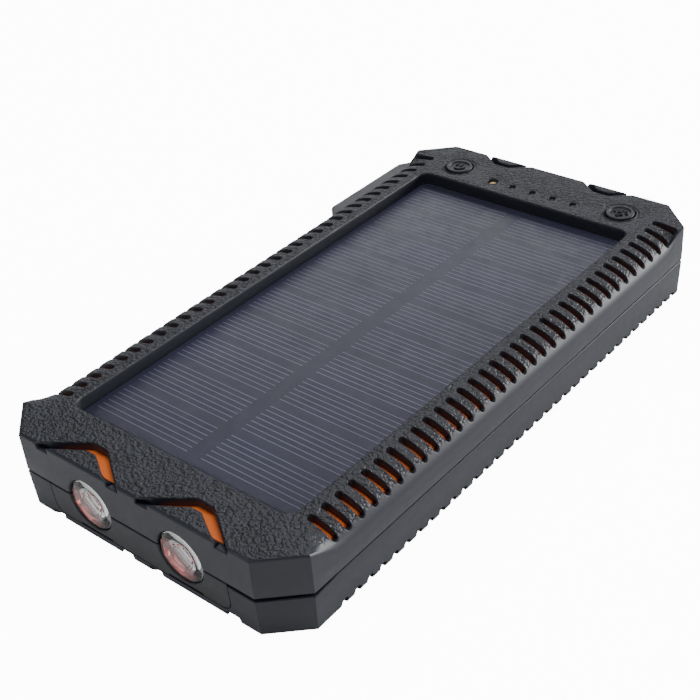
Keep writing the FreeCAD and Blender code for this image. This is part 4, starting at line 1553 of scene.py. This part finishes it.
    def swelling(self, sheet: Sheet, under: bool) -> None:
        """Add one half of the low swelling on the left side, with its bevelled ends and the sliding track.

        Args:
            sheet: the cover's mesh.
            under: whether it is the lower cover.
        """
        root, face, top, seam = -36.3, -39.89, self.height - 2.2, self.middle + self.seam_gap / 2
        mouth, track, lip, back = self.height - 4.2, self.height - 3.4, -39.2, -38.25
        front, rear, corner, behind, thick = 28.8, 62.7, 1.2, -37.6, 0.4
        edge_round, seam_edge, peak = 0.9, 0.2, 0.1
        plan = list(filleted([(root, front, 0.0), (face, front + root - face, corner),
                              (face, rear - root + face, corner), (root, rear, 0.0)], 4))
        stations = sorted([(y, x, seam) for x, y in plan] + [(self.track_front, face, seam),
                          (self.track_front + 0.001, face, mouth), (self.track_rear - 0.001, face, mouth),
                          (self.track_rear, face, seam)])
        rings = []
        for y, x, low in stations:
            open_here = low > seam
            bend = min(edge_round, (root - x) * edge_round / 2)
            ring = [(root, y, low)]
            inner = [(back, mouth), (back, track), (lip, track), (lip, mouth)] if open_here else \
                [(back, seam), (back, seam), (lip, seam), (lip, seam)]
            ring += [(max(across, x), y, level) for across, level in inner]
            ring += [(x + min(seam_edge, bend), y, low), (x, y, low + seam_edge)]
            for step in range(6):
                angle = math.radians(90.0 * step / 5)
                ring.append((x + bend * (1 - math.cos(angle)), y, top - bend * (1 - math.sin(angle))))
            ring.append((root, y, top + peak))
            rings.append([(across, y, self.height - level if under else level) for across, y, level in ring])
        half = Sheet()
        half.loft(rings, caps=True)
        sheet.add(half.points, half.faces, flip=under)
        wall = Sheet()
        cup_front, cup_rear, lap = 46.35, 56.65, 0.3
        for start, end in ((self.track_front - lap, cup_front), (cup_rear, self.track_rear + lap)):
            outline = [(behind - thick, start), (behind, start), (behind, end), (behind - thick, end)]
            levels = (seam, track + peak)
            wall.loft([[(x, y, self.height - level if under else level) for x, y in outline]
                       for level in levels], caps=True)
        sheet.add(wall.points, wall.faces, flip=under)

    def housing(self) -> None:
        """The coloured housing just inside the covers, seen through slots and chevrons."""
        for under, node in ((False, "upper_housing"), (True, "lower_housing")):
            form = self.form(under)
            form = replace(form, seam=form.seam - self.housing_seam, seam_open=0.0, wall=self.housing_wall)
            wrap = Wrap(form)
            openings = self.wall_openings(wrap, under)
            rim, play = self.housing_rim, self.board_play
            if under:
                openings[-1:] = self.bores(wrap, True)
                x, y = self.boss_place
                openings += [Disc(rim, sign * x, along, self.boss_hole)
                             for sign in (-1, 1) for along in (-y, y)]
            else:
                low, high = box_mm("solar_board")
                openings.append(Pane(rim, low.x - play, high.x + play, low.y - play, high.y + play,
                                     self.board_corner))
                x, y = self.key_place
                openings += [Disc(rim, sign * x, y, self.key_hole) for sign in (-1, 1)]
                half, front, rear = self.lamp_slit
                openings.append(Pane(rim, -half, half, front, rear, 1.0))
            sheet = CoverSheet(form, openings, sunk=self.housing_depth).build(under)
            sheet.grain = {}
            sheet.piece(f"{node}_skin", Kind.ORANGE, "case", [node])


@dataclass
class Torch:
    """Two torch lamps: a domed lens over a stepped coloured reflector."""

    steps: int = 64
    axis: float = 0.05
    dome: float = 0.95
    dome_rings: int = 12
    dome_share: float = 0.94
    lens_setback: float = 0.03
    recess: float = 2.6
    bowl_rim: float = 5.15
    bowl_mouth: float = 4.9
    bowl_fall: float = 2.35
    bowl_steps: int = 8
    bowl_tread: float = 0.24

    def rings(self, profile: Sequence[Point2], x: float, z: float) -> list[list[tuple[float, float, float]]]:
        """Turn a profile round a lamp's axis, which runs along Y.

        Args:
            profile: radius and place along Y.
            x: the axis's place across the case.
            z: the axis's height.

        Returns:
            A ring for each point of the profile.
        """
        turns = [math.tau * step / self.steps for step in range(self.steps)]
        return [[(x + radius * math.cos(turn), y, z + radius * math.sin(turn)) for turn in turns]
                for radius, y in profile]

    def build(self) -> None:
        """Build lenses and reflectors."""
        for side in ("left", "right"):
            low, high = box_mm(f"{side}_lens")
            x, z, radius = (low.x + high.x) / 2, (low.z + high.z) / 2, (high.x - low.x) / 2
            front, back = low.y + self.lens_setback, high.y
            rim, recess = front + self.dome, self.recess
            profile = [(self.axis, front)]
            for step in range(1, self.dome_rings + 1):
                share = step / self.dome_rings
                profile.append((radius * self.dome_share * share, front + self.dome * share * share))
            profile += [(radius - 0.12, rim + 0.05), (radius, rim + 0.2), (radius, back - 0.1),
                        (radius - 0.1, back), (recess, back), (recess - 0.1, back - 0.12),
                        (recess - 0.5, back - 0.12), (recess - 0.6, back), (self.axis, back)]
            lens = Sheet()
            lens.loft(self.rings(profile[::-1], x, z), caps=True)
            lens.piece(f"{side}_torch_lens", Kind.LENS, "case", [f"{side}_lens"], 50.0)
            self.reflector(side, x, z)

    def reflector(self, side: str, x: float, z: float) -> None:
        """One stepped reflector bowl with the collar round its light.

        Args:
            side: left or right.
            x: the axis's place across the case.
            z: the axis's height.
        """
        low, high = box_mm(f"{side}_reflector")
        front, back, rim = low.y + 0.05, high.y, self.bowl_rim
        bowl = [(rim, front), (rim - 0.2, front)]
        for step in range(self.bowl_steps + 1):
            share, tread = step / self.bowl_steps, self.bowl_tread if step % 2 else 0.0
            bowl.append((self.bowl_mouth - self.bowl_fall * share - tread,
                         front + 0.15 + (back - front - 1.6) * share ** 0.75))
        bowl += [(2.5, back - 1.0), (3.9, back - 0.9), (rim, front + 0.9)]
        collar = [(2.48, back - 1.9), (2.3, back - 2.15), (2.1, back - 2.15), (1.95, back - 1.9),
                  (1.85, back - 1.2), (1.6, back - 1.0), (1.62, back - 0.7), (1.3, back - 0.6),
                  (1.3, back - 0.1), (2.48, back - 0.1)]
        for name, kind, profile in (("reflector", Kind.REFLECTOR, bowl), ("collar", Kind.COLLAR, collar)):
            rings = self.rings(profile, x, z)
            turned = Sheet()
            turned.loft([*rings, rings[0]])
            turned.piece(f"{side}_torch_{name}", kind, "case", [f"{side}_reflector"])


class Repeat(Tree):
    """A geometry-node tree in the making, and the plain mesh that it gives."""

    def __init__(self, name: str, sizes: dict[str, float | int]) -> None:
        """Start a tree with named size inputs.

        Args:
            name: the tree's name.
            sizes: input names with their values, whole numbers for counts.
        """
        super().__init__(bpy.data.node_groups.new(name, "GeometryNodeTree"))
        self.name = name
        self.sizes = sizes
        self.tree.interface.new_socket("Geometry", in_out="INPUT", socket_type="NodeSocketGeometry")
        for label, value in sizes.items():
            kind = "NodeSocketInt" if isinstance(value, int) else "NodeSocketFloat"
            self.tree.interface.new_socket(label, in_out="INPUT", socket_type=kind)
        self.tree.interface.new_socket("Geometry", in_out="OUTPUT", socket_type="NodeSocketGeometry")
        self.source = self.tree.nodes.new("NodeGroupInput")
        self.sink = self.tree.nodes.new("NodeGroupOutput")

    def size(self, label: str) -> bpy.types.NodeSocket:
        """A size input's socket inside the tree."""
        return self.source.outputs[label]

    def vector(self, x: object = 0.0, y: object = 0.0, z: object = 0.0) -> bpy.types.NodeSocket:
        """A vector from three numbers or sockets."""
        return self.add("ShaderNodeCombineXYZ", None, {"X": x, "Y": y, "Z": z}).outputs[0]

    def line(self, count: object, start: object, step: object) -> bpy.types.NodeSocket:
        """A row of points."""
        return self.add("GeometryNodeMeshLine", {"mode": "OFFSET"},
                        {"Count": count, "Start Location": start, "Offset": step}).outputs[0]

    def instances(self, points: object, item: object) -> bpy.types.NodeSocket:
        """An item on every point, made real."""
        copies = self.add("GeometryNodeInstanceOnPoints", None, {"Points": points, "Instance": item})
        return self.add("GeometryNodeRealizeInstances", None, {0: copies.outputs[0]}).outputs[0]

    def mesh(self, result: bpy.types.NodeSocket, kind: Kind) -> bpy.types.Mesh:
        """Finish the tree, run it once and keep the plain mesh.

        Args:
            result: the tree's last geometry.
            kind: the finish.

        Returns:
            The mesh in metres.
        """
        real = self.add("GeometryNodeRealizeInstances", None, {0: result})
        dressed = self.add("GeometryNodeSetMaterial", None,
                           {0: real.outputs[0], "Material": kind.value.material()})
        self.tree.links.new(dressed.outputs[0], self.sink.inputs[0])
        carrier = bpy.data.objects.new(f"{self.name}_carrier", bpy.data.meshes.new(f"{self.name}_carrier"))
        bpy.context.scene.collection.objects.link(carrier)
        modifier = carrier.modifiers.new("nodes", "NODES")
        modifier.node_group = self.tree
        names = {item.name: item.identifier for item in self.tree.interface.items_tree
                 if item.in_out == "INPUT"}
        for label, value in self.sizes.items():
            modifier[names[label]] = value
        carrier.update_tag()
        evaluated = carrier.evaluated_get(bpy.context.evaluated_depsgraph_get())
        mesh = bpy.data.meshes.new_from_object(evaluated)
        carrier.modifiers.clear()
        bpy.data.objects.remove(carrier)
        return mesh


@dataclass
class SolarPanel:
    """The dark laminate over the cells, with fine pale fingers in groups and plain bands between."""

    line_width: float = 0.2
    line_thick: float = 0.03
    line_pitch: float = 1.37
    lines: int = 7
    group_pitch: float = 10.95
    groups: int = 10
    first: float = -54.7
    column: float = 14.35
    line_length: float = 25.0
    margin: float = 0.15
    corner: float = 2.2
    edge: tuple[tuple[float, float], ...] = ((0.0, 0.08), (0.03, 0.03), (0.08, 0.0), (0.4, 0.0))

    def build(self) -> None:
        """Build the laminate and the fingers of both columns."""
        high = box_mm("solar_cells")[1]
        self.laminate(high.z)
        grid = Repeat("cell_fingers", {
            "Line Width": self.line_width * MM, "Line Length": self.line_length * MM,
            "Thickness": self.line_thick * MM, "Line Pitch": self.line_pitch * MM, "Lines": self.lines,
            "Group Pitch": self.group_pitch * MM, "Groups": self.groups, "Column": self.column * MM,
            "First": self.first * MM, "Level": (high.z + self.line_thick / 2) * MM})
        strip = grid.add("GeometryNodeMeshCube", None, {"Size": grid.vector(
            grid.size("Line Length"), grid.size("Line Width"), grid.size("Thickness"))}).outputs[0]
        group = grid.instances(grid.line(grid.size("Lines"), grid.vector(), grid.vector(
            y=grid.size("Line Pitch"))), strip)
        column = grid.instances(grid.line(grid.size("Groups"), grid.vector(), grid.vector(
            y=grid.size("Group Pitch"))), group)
        start = grid.vector(grid.math("MULTIPLY", grid.size("Column"), -1.0), grid.size("First"),
                            grid.size("Level"))
        both = grid.instances(grid.line(2, start, grid.vector(
            grid.math("MULTIPLY", grid.size("Column"), 2.0))), column)
        finish_piece("cell_finger_lines", grid.mesh(both, Kind.FINGER), Kind.FINGER, "case")

    def laminate(self, top: float) -> None:
        """Build the laminate with its softened edge.

        Args:
            top: the height of its face.
        """
        low, high = box_mm("solar_board")
        sheet = Sheet()
        rings = []
        for shrink, level in ((0.0, high.z), *((shrink, top - fall) for shrink, fall in self.edge)):
            edge = self.margin + shrink
            outline = rounded_rectangle(low.x + edge, high.x - edge, low.y + edge, high.y - edge,
                                        self.corner - shrink, 6)
            rings.append([(x, y, level) for x, y in outline])
        sheet.loft(rings, caps=True)
        sheet.piece("cell_laminate", Kind.CELL, "case", ["solar_cells"])


@dataclass
class Controls:
    """The two round buttons with raised signs, and the indicator lamps between them."""

    cap: float = 3.27
    flange: float = 4.2
    flange_thick: float = 0.7
    dish: float = 0.44
    sign_rise: float = 0.4
    sign_foot: float = 0.02
    steps: int = 56
    crown: tuple[float, float] = (0.3, 0.34)
    open_ring: float = 1.25
    lamp_ring: float = 0.72
    lamp_drop: float = 0.35
    rays: tuple[int, ...] = (20, 55, 90, 125, 160)
    ray_reach: tuple[float, float] = (1.25, 1.95)
    pipes: int = 5
    pipe_first: float = -11.2
    pipe_pitch: float = 5.6
    pipe_radius: float = 0.7
    charge_radius: float = 1.12
    pipe_dome: float = 0.4
    pipe_depth: float = 0.55

    def build(self) -> None:
        """Build buttons and lamps."""
        for node, body in (("power_button", "power_key"), ("torch_button", "torch_key")):
            low, high = box_mm(node)
            centre = Vector(((low.x + high.x) / 2, (low.y + high.y) / 2))
            sheet = self.button(centre, low.z, high.z)
            floor = high.z - self.dish - self.sign_foot
            if node == "power_button":
                self.power_sign(sheet, centre, floor)
            else:
                self.torch_sign(sheet, centre, floor)
            sheet.piece(f"{node}_cap", Kind.BUTTON, body, [node])
        self.lamps()

    def button(self, centre: Vector, foot: float, top: float) -> Sheet:
        """A button's turned body.

        Args:
            centre: its middle.
            foot: its underside's height.
            top: its rim's height.

        Returns:
            The mesh.
        """
        cap, flange, shelf = self.cap, self.flange, foot + self.flange_thick
        across, rise = self.crown
        profile = [(0.02, foot), (flange, foot), (flange, shelf), (cap, shelf), (cap, top - rise)]
        profile += [(cap - across * (1 - math.cos(angle)), top - rise + rise * math.sin(angle))
                    for angle in (0.4, 0.8, 1.2, math.pi / 2)]
        profile += [(cap - 0.55, top), (cap - 0.72, top - 0.03), (cap - 0.9, top - self.dish * 0.8),
                    (cap - 1.1, top - self.dish), (0.02, top - self.dish)]
        sheet = Sheet()
        sheet.loft([[(x, y, level) for x, y in circle(centre.x, centre.y, radius, self.steps)]
                    for radius, level in profile], caps=True)
        return sheet

    def band(self, sheet: Sheet, path: Sequence[Point2], width: float, floor: float,
             closed: bool = False) -> None:
        """A raised line with sloping flanks.

        Args:
            sheet: the mesh.
            path: its middle line.
            width: its width at the foot.
            floor: the height of its foot.
            closed: whether it runs back to its start.
        """
        sections = []
        count = len(path)
        for index, point in enumerate(path):
            before = Vector(path[index - 1] if closed or index else path[0])
            after = Vector(path[(index + 1) % count] if closed or index < count - 1 else path[-1])
            run = (after - before).normalized()
            side = Vector((-run.y, run.x))
            levels = ((-0.5, 0.0), (-0.3, self.sign_rise), (0.3, self.sign_rise), (0.5, 0.0))
            sections.append([(point[0] + side.x * share * width, point[1] + side.y * share * width,
                              floor + rise) for share, rise in levels])
        sheet.loft([*sections, sections[0]] if closed else sections, caps=not closed)

    def power_sign(self, sheet: Sheet, centre: Vector, floor: float) -> None:
        """An open ring with a bar in its gap.

        Args:
            sheet: the button's mesh.
            centre: the sign's middle.
            floor: the height of its foot.
        """
        radius = self.open_ring
        turns = [math.radians(angle) for angle in range(-135, 136, 15)]
        arc = [(centre.x + radius * math.sin(turn), centre.y - radius * math.cos(turn)) for turn in turns]
        self.band(sheet, arc, 0.42, floor)
        self.band(sheet, [(centre.x, centre.y + 0.3), (centre.x, centre.y + 1.5)], 0.4, floor)

    def torch_sign(self, sheet: Sheet, centre: Vector, floor: float) -> None:
        """A small ring with rays and a stem.

        Args:
            sheet: the button's mesh.
            centre: the sign's middle.
            floor: the height of its foot.
        """
        middle = (centre.x, centre.y - self.lamp_drop)
        self.band(sheet, circle(*middle, self.lamp_ring, 28), 0.34, floor, closed=True)
        for angle in self.rays:
            run = (math.cos(math.radians(angle)), math.sin(math.radians(angle)))
            self.band(sheet, [(middle[0] + run[0] * reach, middle[1] + run[1] * reach)
                              for reach in self.ray_reach], 0.3, floor)
        self.band(sheet, [(middle[0] - 0.4, middle[1] - 1.3), (middle[0] + 0.4, middle[1] - 1.3)], 0.3, floor)

    def lamps(self) -> None:
        """Domed light pipes in the indicator holes; the first is the charging lamp."""
        low, high = box_mm("light_pipes")
        row = (low.y + high.y) / 2
        rest, first = Sheet(), Sheet()
        for step in range(self.pipes):
            radius = self.pipe_radius if step else self.charge_radius
            x, collar = self.pipe_first + self.pipe_pitch * step, high.z - self.pipe_depth
            profile = [(0.02, low.z), (radius, low.z), (radius, collar)]
            profile += [(radius * math.cos(angle), collar + self.pipe_dome * math.sin(angle))
                        for angle in (0.3, 0.6, 0.9, 1.2, 1.5)]
            (rest if step else first).loft([[(px, py, level) for px, py in circle(x, row, reach, 24)]
                                            for reach, level in profile], caps=True)
        rest.piece("indicator_pipes", Kind.PIPE, "case", ["light_pipes"])
        first.piece("charging_pipe", Kind.LIT_PIPE, "case", ["light_pipes"])


@dataclass
class PortCover:
    """The rubber cover over the sockets: a bevelled plate with a framing groove and a finger tab."""

    bevel: float = 0.25
    corner: float = 0.9
    rib: tuple[tuple[float, float], ...] = ((0.95, 0.0), (1.1, 0.16), (1.3, 0.16), (1.45, 0.0))
    tab_half: float = 5.5
    tab_levels: tuple[float, float] = (1.75, 0.75)
    tab_corner: float = 0.45

    def build(self) -> None:
        """Build the cover on its hinge."""
        low, high = box_mm("port_cover")
        x, foot, top = high.x, low.z, high.z
        sheet = Sheet()

        def frame(inset: float, y: float) -> list[tuple[float, float, float]]:
            """The plate's outline at an inset.

            Args:
                inset: how far inwards.
                y: the outline's place.

            Returns:
                Its points.
            """
            corner = max(self.corner - inset, 0.2)
            return [(-u, y, v) for u, v in rounded_rectangle(
                -x + inset, x - inset, foot + inset, top - inset, corner)]

        front, back = low.y, high.y
        sheet.loft([frame(self.bevel, front), frame(0.0, front + self.bevel), frame(0.0, back - self.bevel),
                    frame(self.bevel, back), *(frame(inset, back - fall) for inset, fall in self.rib)],
                   caps=True)
        tab_low, tab_high = (top - fall for fall in self.tab_levels)
        grip = [(-u, v) for u, v in rounded_rectangle(-self.tab_half, self.tab_half, tab_low, tab_high,
                                                      self.tab_corner)]
        sheet.loft([[(u, back - 0.02, v) for u, v in grip], [(u * 0.99, back - 0.001, v) for u, v in grip]],
                   caps=True)
        sheet.piece("port_cover_flap", Kind.BUTTON, "port_door", ["port_cover"])


@dataclass
class Lighter:
    """The lighter's sliding cover with its grip ribs."""

    ribs: int = 7
    rib_pitch: float = 1.3
    rib_width: float = 0.55
    rib_rise: float = 0.4
    rib_length: float = 7.0
    middle: float = 9.0
    raised: tuple[float, float] = (4.35, 13.65)
    flange: tuple[float, float] = (3.5, 14.5)
    step: float = -39.15
    bevel: float = 0.25

    def build(self) -> None:
        """Build the slide."""
        low, high = box_mm("lighter_slide")
        face = low.x + self.rib_rise
        sheet = Sheet()

        def frame(x: float, levels: tuple[float, float], inset: float) -> list[tuple[float, float, float]]:
            """A rounded outline across the slide."""
            return [(x, -u, v) for u, v in rounded_rectangle(
                -high.y + inset, -low.y - inset, levels[0] + inset, levels[1] - inset, 0.5)]

        sheet.loft([frame(high.x, self.flange, 0.0), frame(self.step, self.flange, 0.0),
                    frame(self.step, self.raised, 0.0), frame(face + self.bevel, self.raised, 0.0),
                    frame(face, self.raised, self.bevel)], caps=True)
        sheet.piece("lighter_slide_plate", Kind.PANEL, "lighter_door", ["lighter_slide"])
        middle = (low.y + high.y) / 2
        rows = Repeat("slide_ribs", {
            "Pitch": self.rib_pitch * MM, "Width": self.rib_width * MM, "Rise": (self.rib_rise + 0.1) * MM,
            "Length": self.rib_length * MM, "Ribs": self.ribs,
            "First": (middle - self.rib_pitch * (self.ribs - 1) / 2) * MM, "Face": face * MM})
        rib = rows.add("GeometryNodeMeshCylinder", None, {"Vertices": 12, "Radius": rows.math(
            "MULTIPLY", rows.size("Width"), 0.5), "Depth": rows.size("Length")})
        flat = rows.add("GeometryNodeTransform", None, {0: rib.outputs[0], "Scale": rows.vector(
            rows.math("DIVIDE", rows.size("Rise"), rows.math("MULTIPLY", rows.size("Width"), 0.6)), 1.0, 1.0)})
        start = rows.vector(rows.size("Face"), rows.size("First"), self.middle * MM)
        row = rows.instances(rows.line(rows.size("Ribs"), start, rows.vector(y=rows.size("Pitch"))),
                             flat.outputs[0])
        finish_piece("lighter_slide_ribs", rows.mesh(row, Kind.PANEL), Kind.PANEL, "lighter_door")


@dataclass
class Screws:
    """The case screws with cross recesses, driven from below."""

    head: float = 1.85
    head_height: float = 0.9
    shank: float = 0.95
    recess: float = 0.5
    inset: float = 0.05

    def build(self) -> None:
        """Build the four screws."""
        low, high = box_mm("case_screws")
        reach_x, reach_y = high.x - self.head - self.inset, high.y - self.head - self.inset
        tree = Repeat("cross_screws", {
            "Head": self.head * MM, "Height": self.head_height * MM, "Shank": self.shank * MM,
            "Length": (high.z - low.z - self.head_height) * MM, "Recess": self.recess * MM,
            "Across": reach_x * MM, "Along": reach_y * MM, "Foot": low.z * MM})
        head = tree.add("GeometryNodeMeshCone", None, {
            "Vertices": 32, "Radius Bottom": tree.math("MULTIPLY", tree.size("Head"), 0.93),
            "Radius Top": tree.size("Head"), "Depth": tree.size("Height")}).outputs[0]
        depth = tree.math("MULTIPLY", tree.size("Height"), 1.2)
        arm = tree.math("MULTIPLY", tree.size("Head"), 1.25)
        bars = [tree.add("GeometryNodeMeshCube", None, {"Size": tree.vector(*spans)}).outputs[0]
                for spans in ((arm, tree.size("Recess"), depth), (tree.size("Recess"), arm, depth))]
        cutter = tree.add("GeometryNodeMeshBoolean", {"operation": "UNION", "solver": "EXACT"}, {1: bars})
        sunk = tree.add("GeometryNodeMeshBoolean", {"operation": "DIFFERENCE", "solver": "EXACT"},
                        {0: head, 1: cutter.outputs[0]})
        shank = tree.add("GeometryNodeMeshCylinder", None, {"Vertices": 20, "Radius": tree.size("Shank"),
                                                            "Depth": tree.size("Length")})
        lift = tree.math("ADD", tree.size("Height"), tree.math("MULTIPLY", tree.size("Length"), 0.5))
        raised = tree.add("GeometryNodeTransform", None,
                          {0: shank.outputs[0], "Translation": tree.vector(z=lift)})
        one = tree.add("GeometryNodeJoinGeometry", None, {0: [sunk.outputs[0], raised.outputs[0]]})
        double = [tree.math("MULTIPLY", tree.size(label), 2.0) for label in ("Across", "Along")]
        back = [tree.math("MULTIPLY", tree.size(label), -1.0) for label in ("Across", "Along")]
        pair = tree.instances(tree.line(2, tree.vector(), tree.vector(double[0])), one.outputs[0])
        both = tree.instances(tree.line(2, tree.vector(back[0], back[1], tree.size("Foot")),
                                        tree.vector(y=double[1])), pair)
        finish_piece("cross_head_screws", tree.mesh(both, Kind.SCREW), Kind.SCREW, "case", ["case_screws"])


@dataclass(frozen=True)
class Studio:
    """Camera, floor and soft light."""

    camera_place: tuple[float, float, float] = (0.14910, -0.17301, 0.16488)
    camera_turn: tuple[float, float, float] = (55.357, 4.216, 39.407)
    lens: float = 66.33
    floor_size: float = 60.0
    floor_glow: float = 12.0
    floor_bounce: float = 0.13
    sky: float = 0.2
    sky_colour: tuple[float, float, float] = (0.9, 0.94, 1.0)
    clip: tuple[float, float] = (0.01, 200.0)
    lights: tuple[tuple[str, Point3, Point3, Point2, float], ...] = (
        ("key", (0.1, 0.15, 1.1), (0.0, 0.0, 0.0), (0.7, 0.7), 8.0),
        ("rear", (-0.9, 1.2, 0.75), (0.0, 0.0, 0.0), (1.2, 0.8), 7.0),
        ("front", (-0.25, -0.8, 0.5), (0.0, -0.05, 0.0), (0.4, 0.4), 1.2),
        ("side", (0.8, 1.3, 0.2), (0.03, 0.02, 0.0), (0.9, 0.4), 26.0))

    def build(self) -> None:
        """Set up camera, floor and lights."""
        data = bpy.data.cameras.new("camera")
        data.lens, data.sensor_width = self.lens, 36.0
        data.clip_start, data.clip_end = self.clip
        camera = bpy.data.objects.new("camera", data)
        camera.location = self.camera_place
        camera.rotation_euler = Euler([math.radians(angle) for angle in self.camera_turn])
        bpy.context.scene.collection.objects.link(camera)
        bpy.context.scene.camera = camera
        half = self.floor_size / 2
        mesh = bpy.data.meshes.new("floor")
        corners = [(-half, -half, 0), (half, -half, 0), (half, half, 0), (-half, half, 0)]
        mesh.from_pydata(corners, [], [(0, 1, 2, 3)])
        floor = bpy.data.objects.new("floor", mesh)
        mesh.materials.append(Finish("studio_floor", (0.93, 0.93, 0.94), (0.95, 0.95, 0.96), roughness=0.9,
                                     specular=0.1, bump=0.00001).material())
        self.brighten(mesh.materials[0])
        bpy.context.scene.collection.objects.link(floor)
        world = bpy.data.worlds.new("studio")
        world.use_nodes = True
        backdrop = world.node_tree.nodes["Background"]
        backdrop.inputs["Color"].default_value = (*self.sky_colour, 1.0)
        backdrop.inputs["Strength"].default_value = self.sky
        bpy.context.scene.world = world
        for setting in self.lights:
            self.light(*setting)

    def brighten(self, material: bpy.types.Material) -> None:
        """Let the floor shine brightly towards the camera and softly on the case, as an evenly lit sweep does.

        Args:
            material: the floor's material.
        """
        shader = Shader(material.node_tree)
        surface = material.node_tree.nodes["Principled BSDF"]
        seen = shader.add("ShaderNodeLightPath").outputs["Is Camera Ray"]
        glow = shader.math("MULTIPLY_ADD", seen, self.floor_glow - self.floor_bounce, self.floor_bounce)
        shader.tree.links.new(glow, surface.inputs["Emission Strength"])
        surface.inputs["Emission Color"].default_value = (1.0, 1.0, 1.0, 1.0)

    def light(self, name: str, place: Point3, aim: Point3, size: Point2, power: float) -> None:
        """A rectangular soft light.

        Args:
            name: its name.
            place: where it hangs.
            aim: where it points.
            size: its width and height.
            power: its power in watts.
        """
        data = bpy.data.lights.new(name, "AREA")
        data.shape = "RECTANGLE"
        data.size, data.size_y = size
        data.energy = power
        data.color = (1.0, 1.0, 1.0)
        lamp = bpy.data.objects.new(name, data)
        lamp.location = place
        lamp.rotation_euler = (Vector(aim) - Vector(place)).to_track_quat("-Z", "Y").to_euler()
        bpy.context.scene.collection.objects.link(lamp)


def dress_nodes(nodes: dict[str, bpy.types.Object]) -> None:
    """Give every frame node the finish of its material slot.

    Args:
        nodes: the frame's nodes by name.
    """
    for name, node in nodes.items():
        for place in node.material_slots:
            label = place.material.name.split(".")[0] if place.material else ""
            if label in KIND_OF_SLOT:
                place.material = KIND_OF_SLOT[label].value.material()
            else:
                LOG.warning("%s has no finish for slot %s", name, label)


def main() -> None:
    """Build the charger's pieces in the order they go together."""
    logging.basicConfig(level=logging.INFO)
    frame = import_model()
    dress_nodes(frame["nodes"])
    for part in (Covers(), Torch(), SolarPanel(), Controls(), PortCover(), Lighter(), Screws(), Studio()):
        part.build()
        LOG.info("%s built", type(part).__name__)


if __name__ == "__main__":
    main()
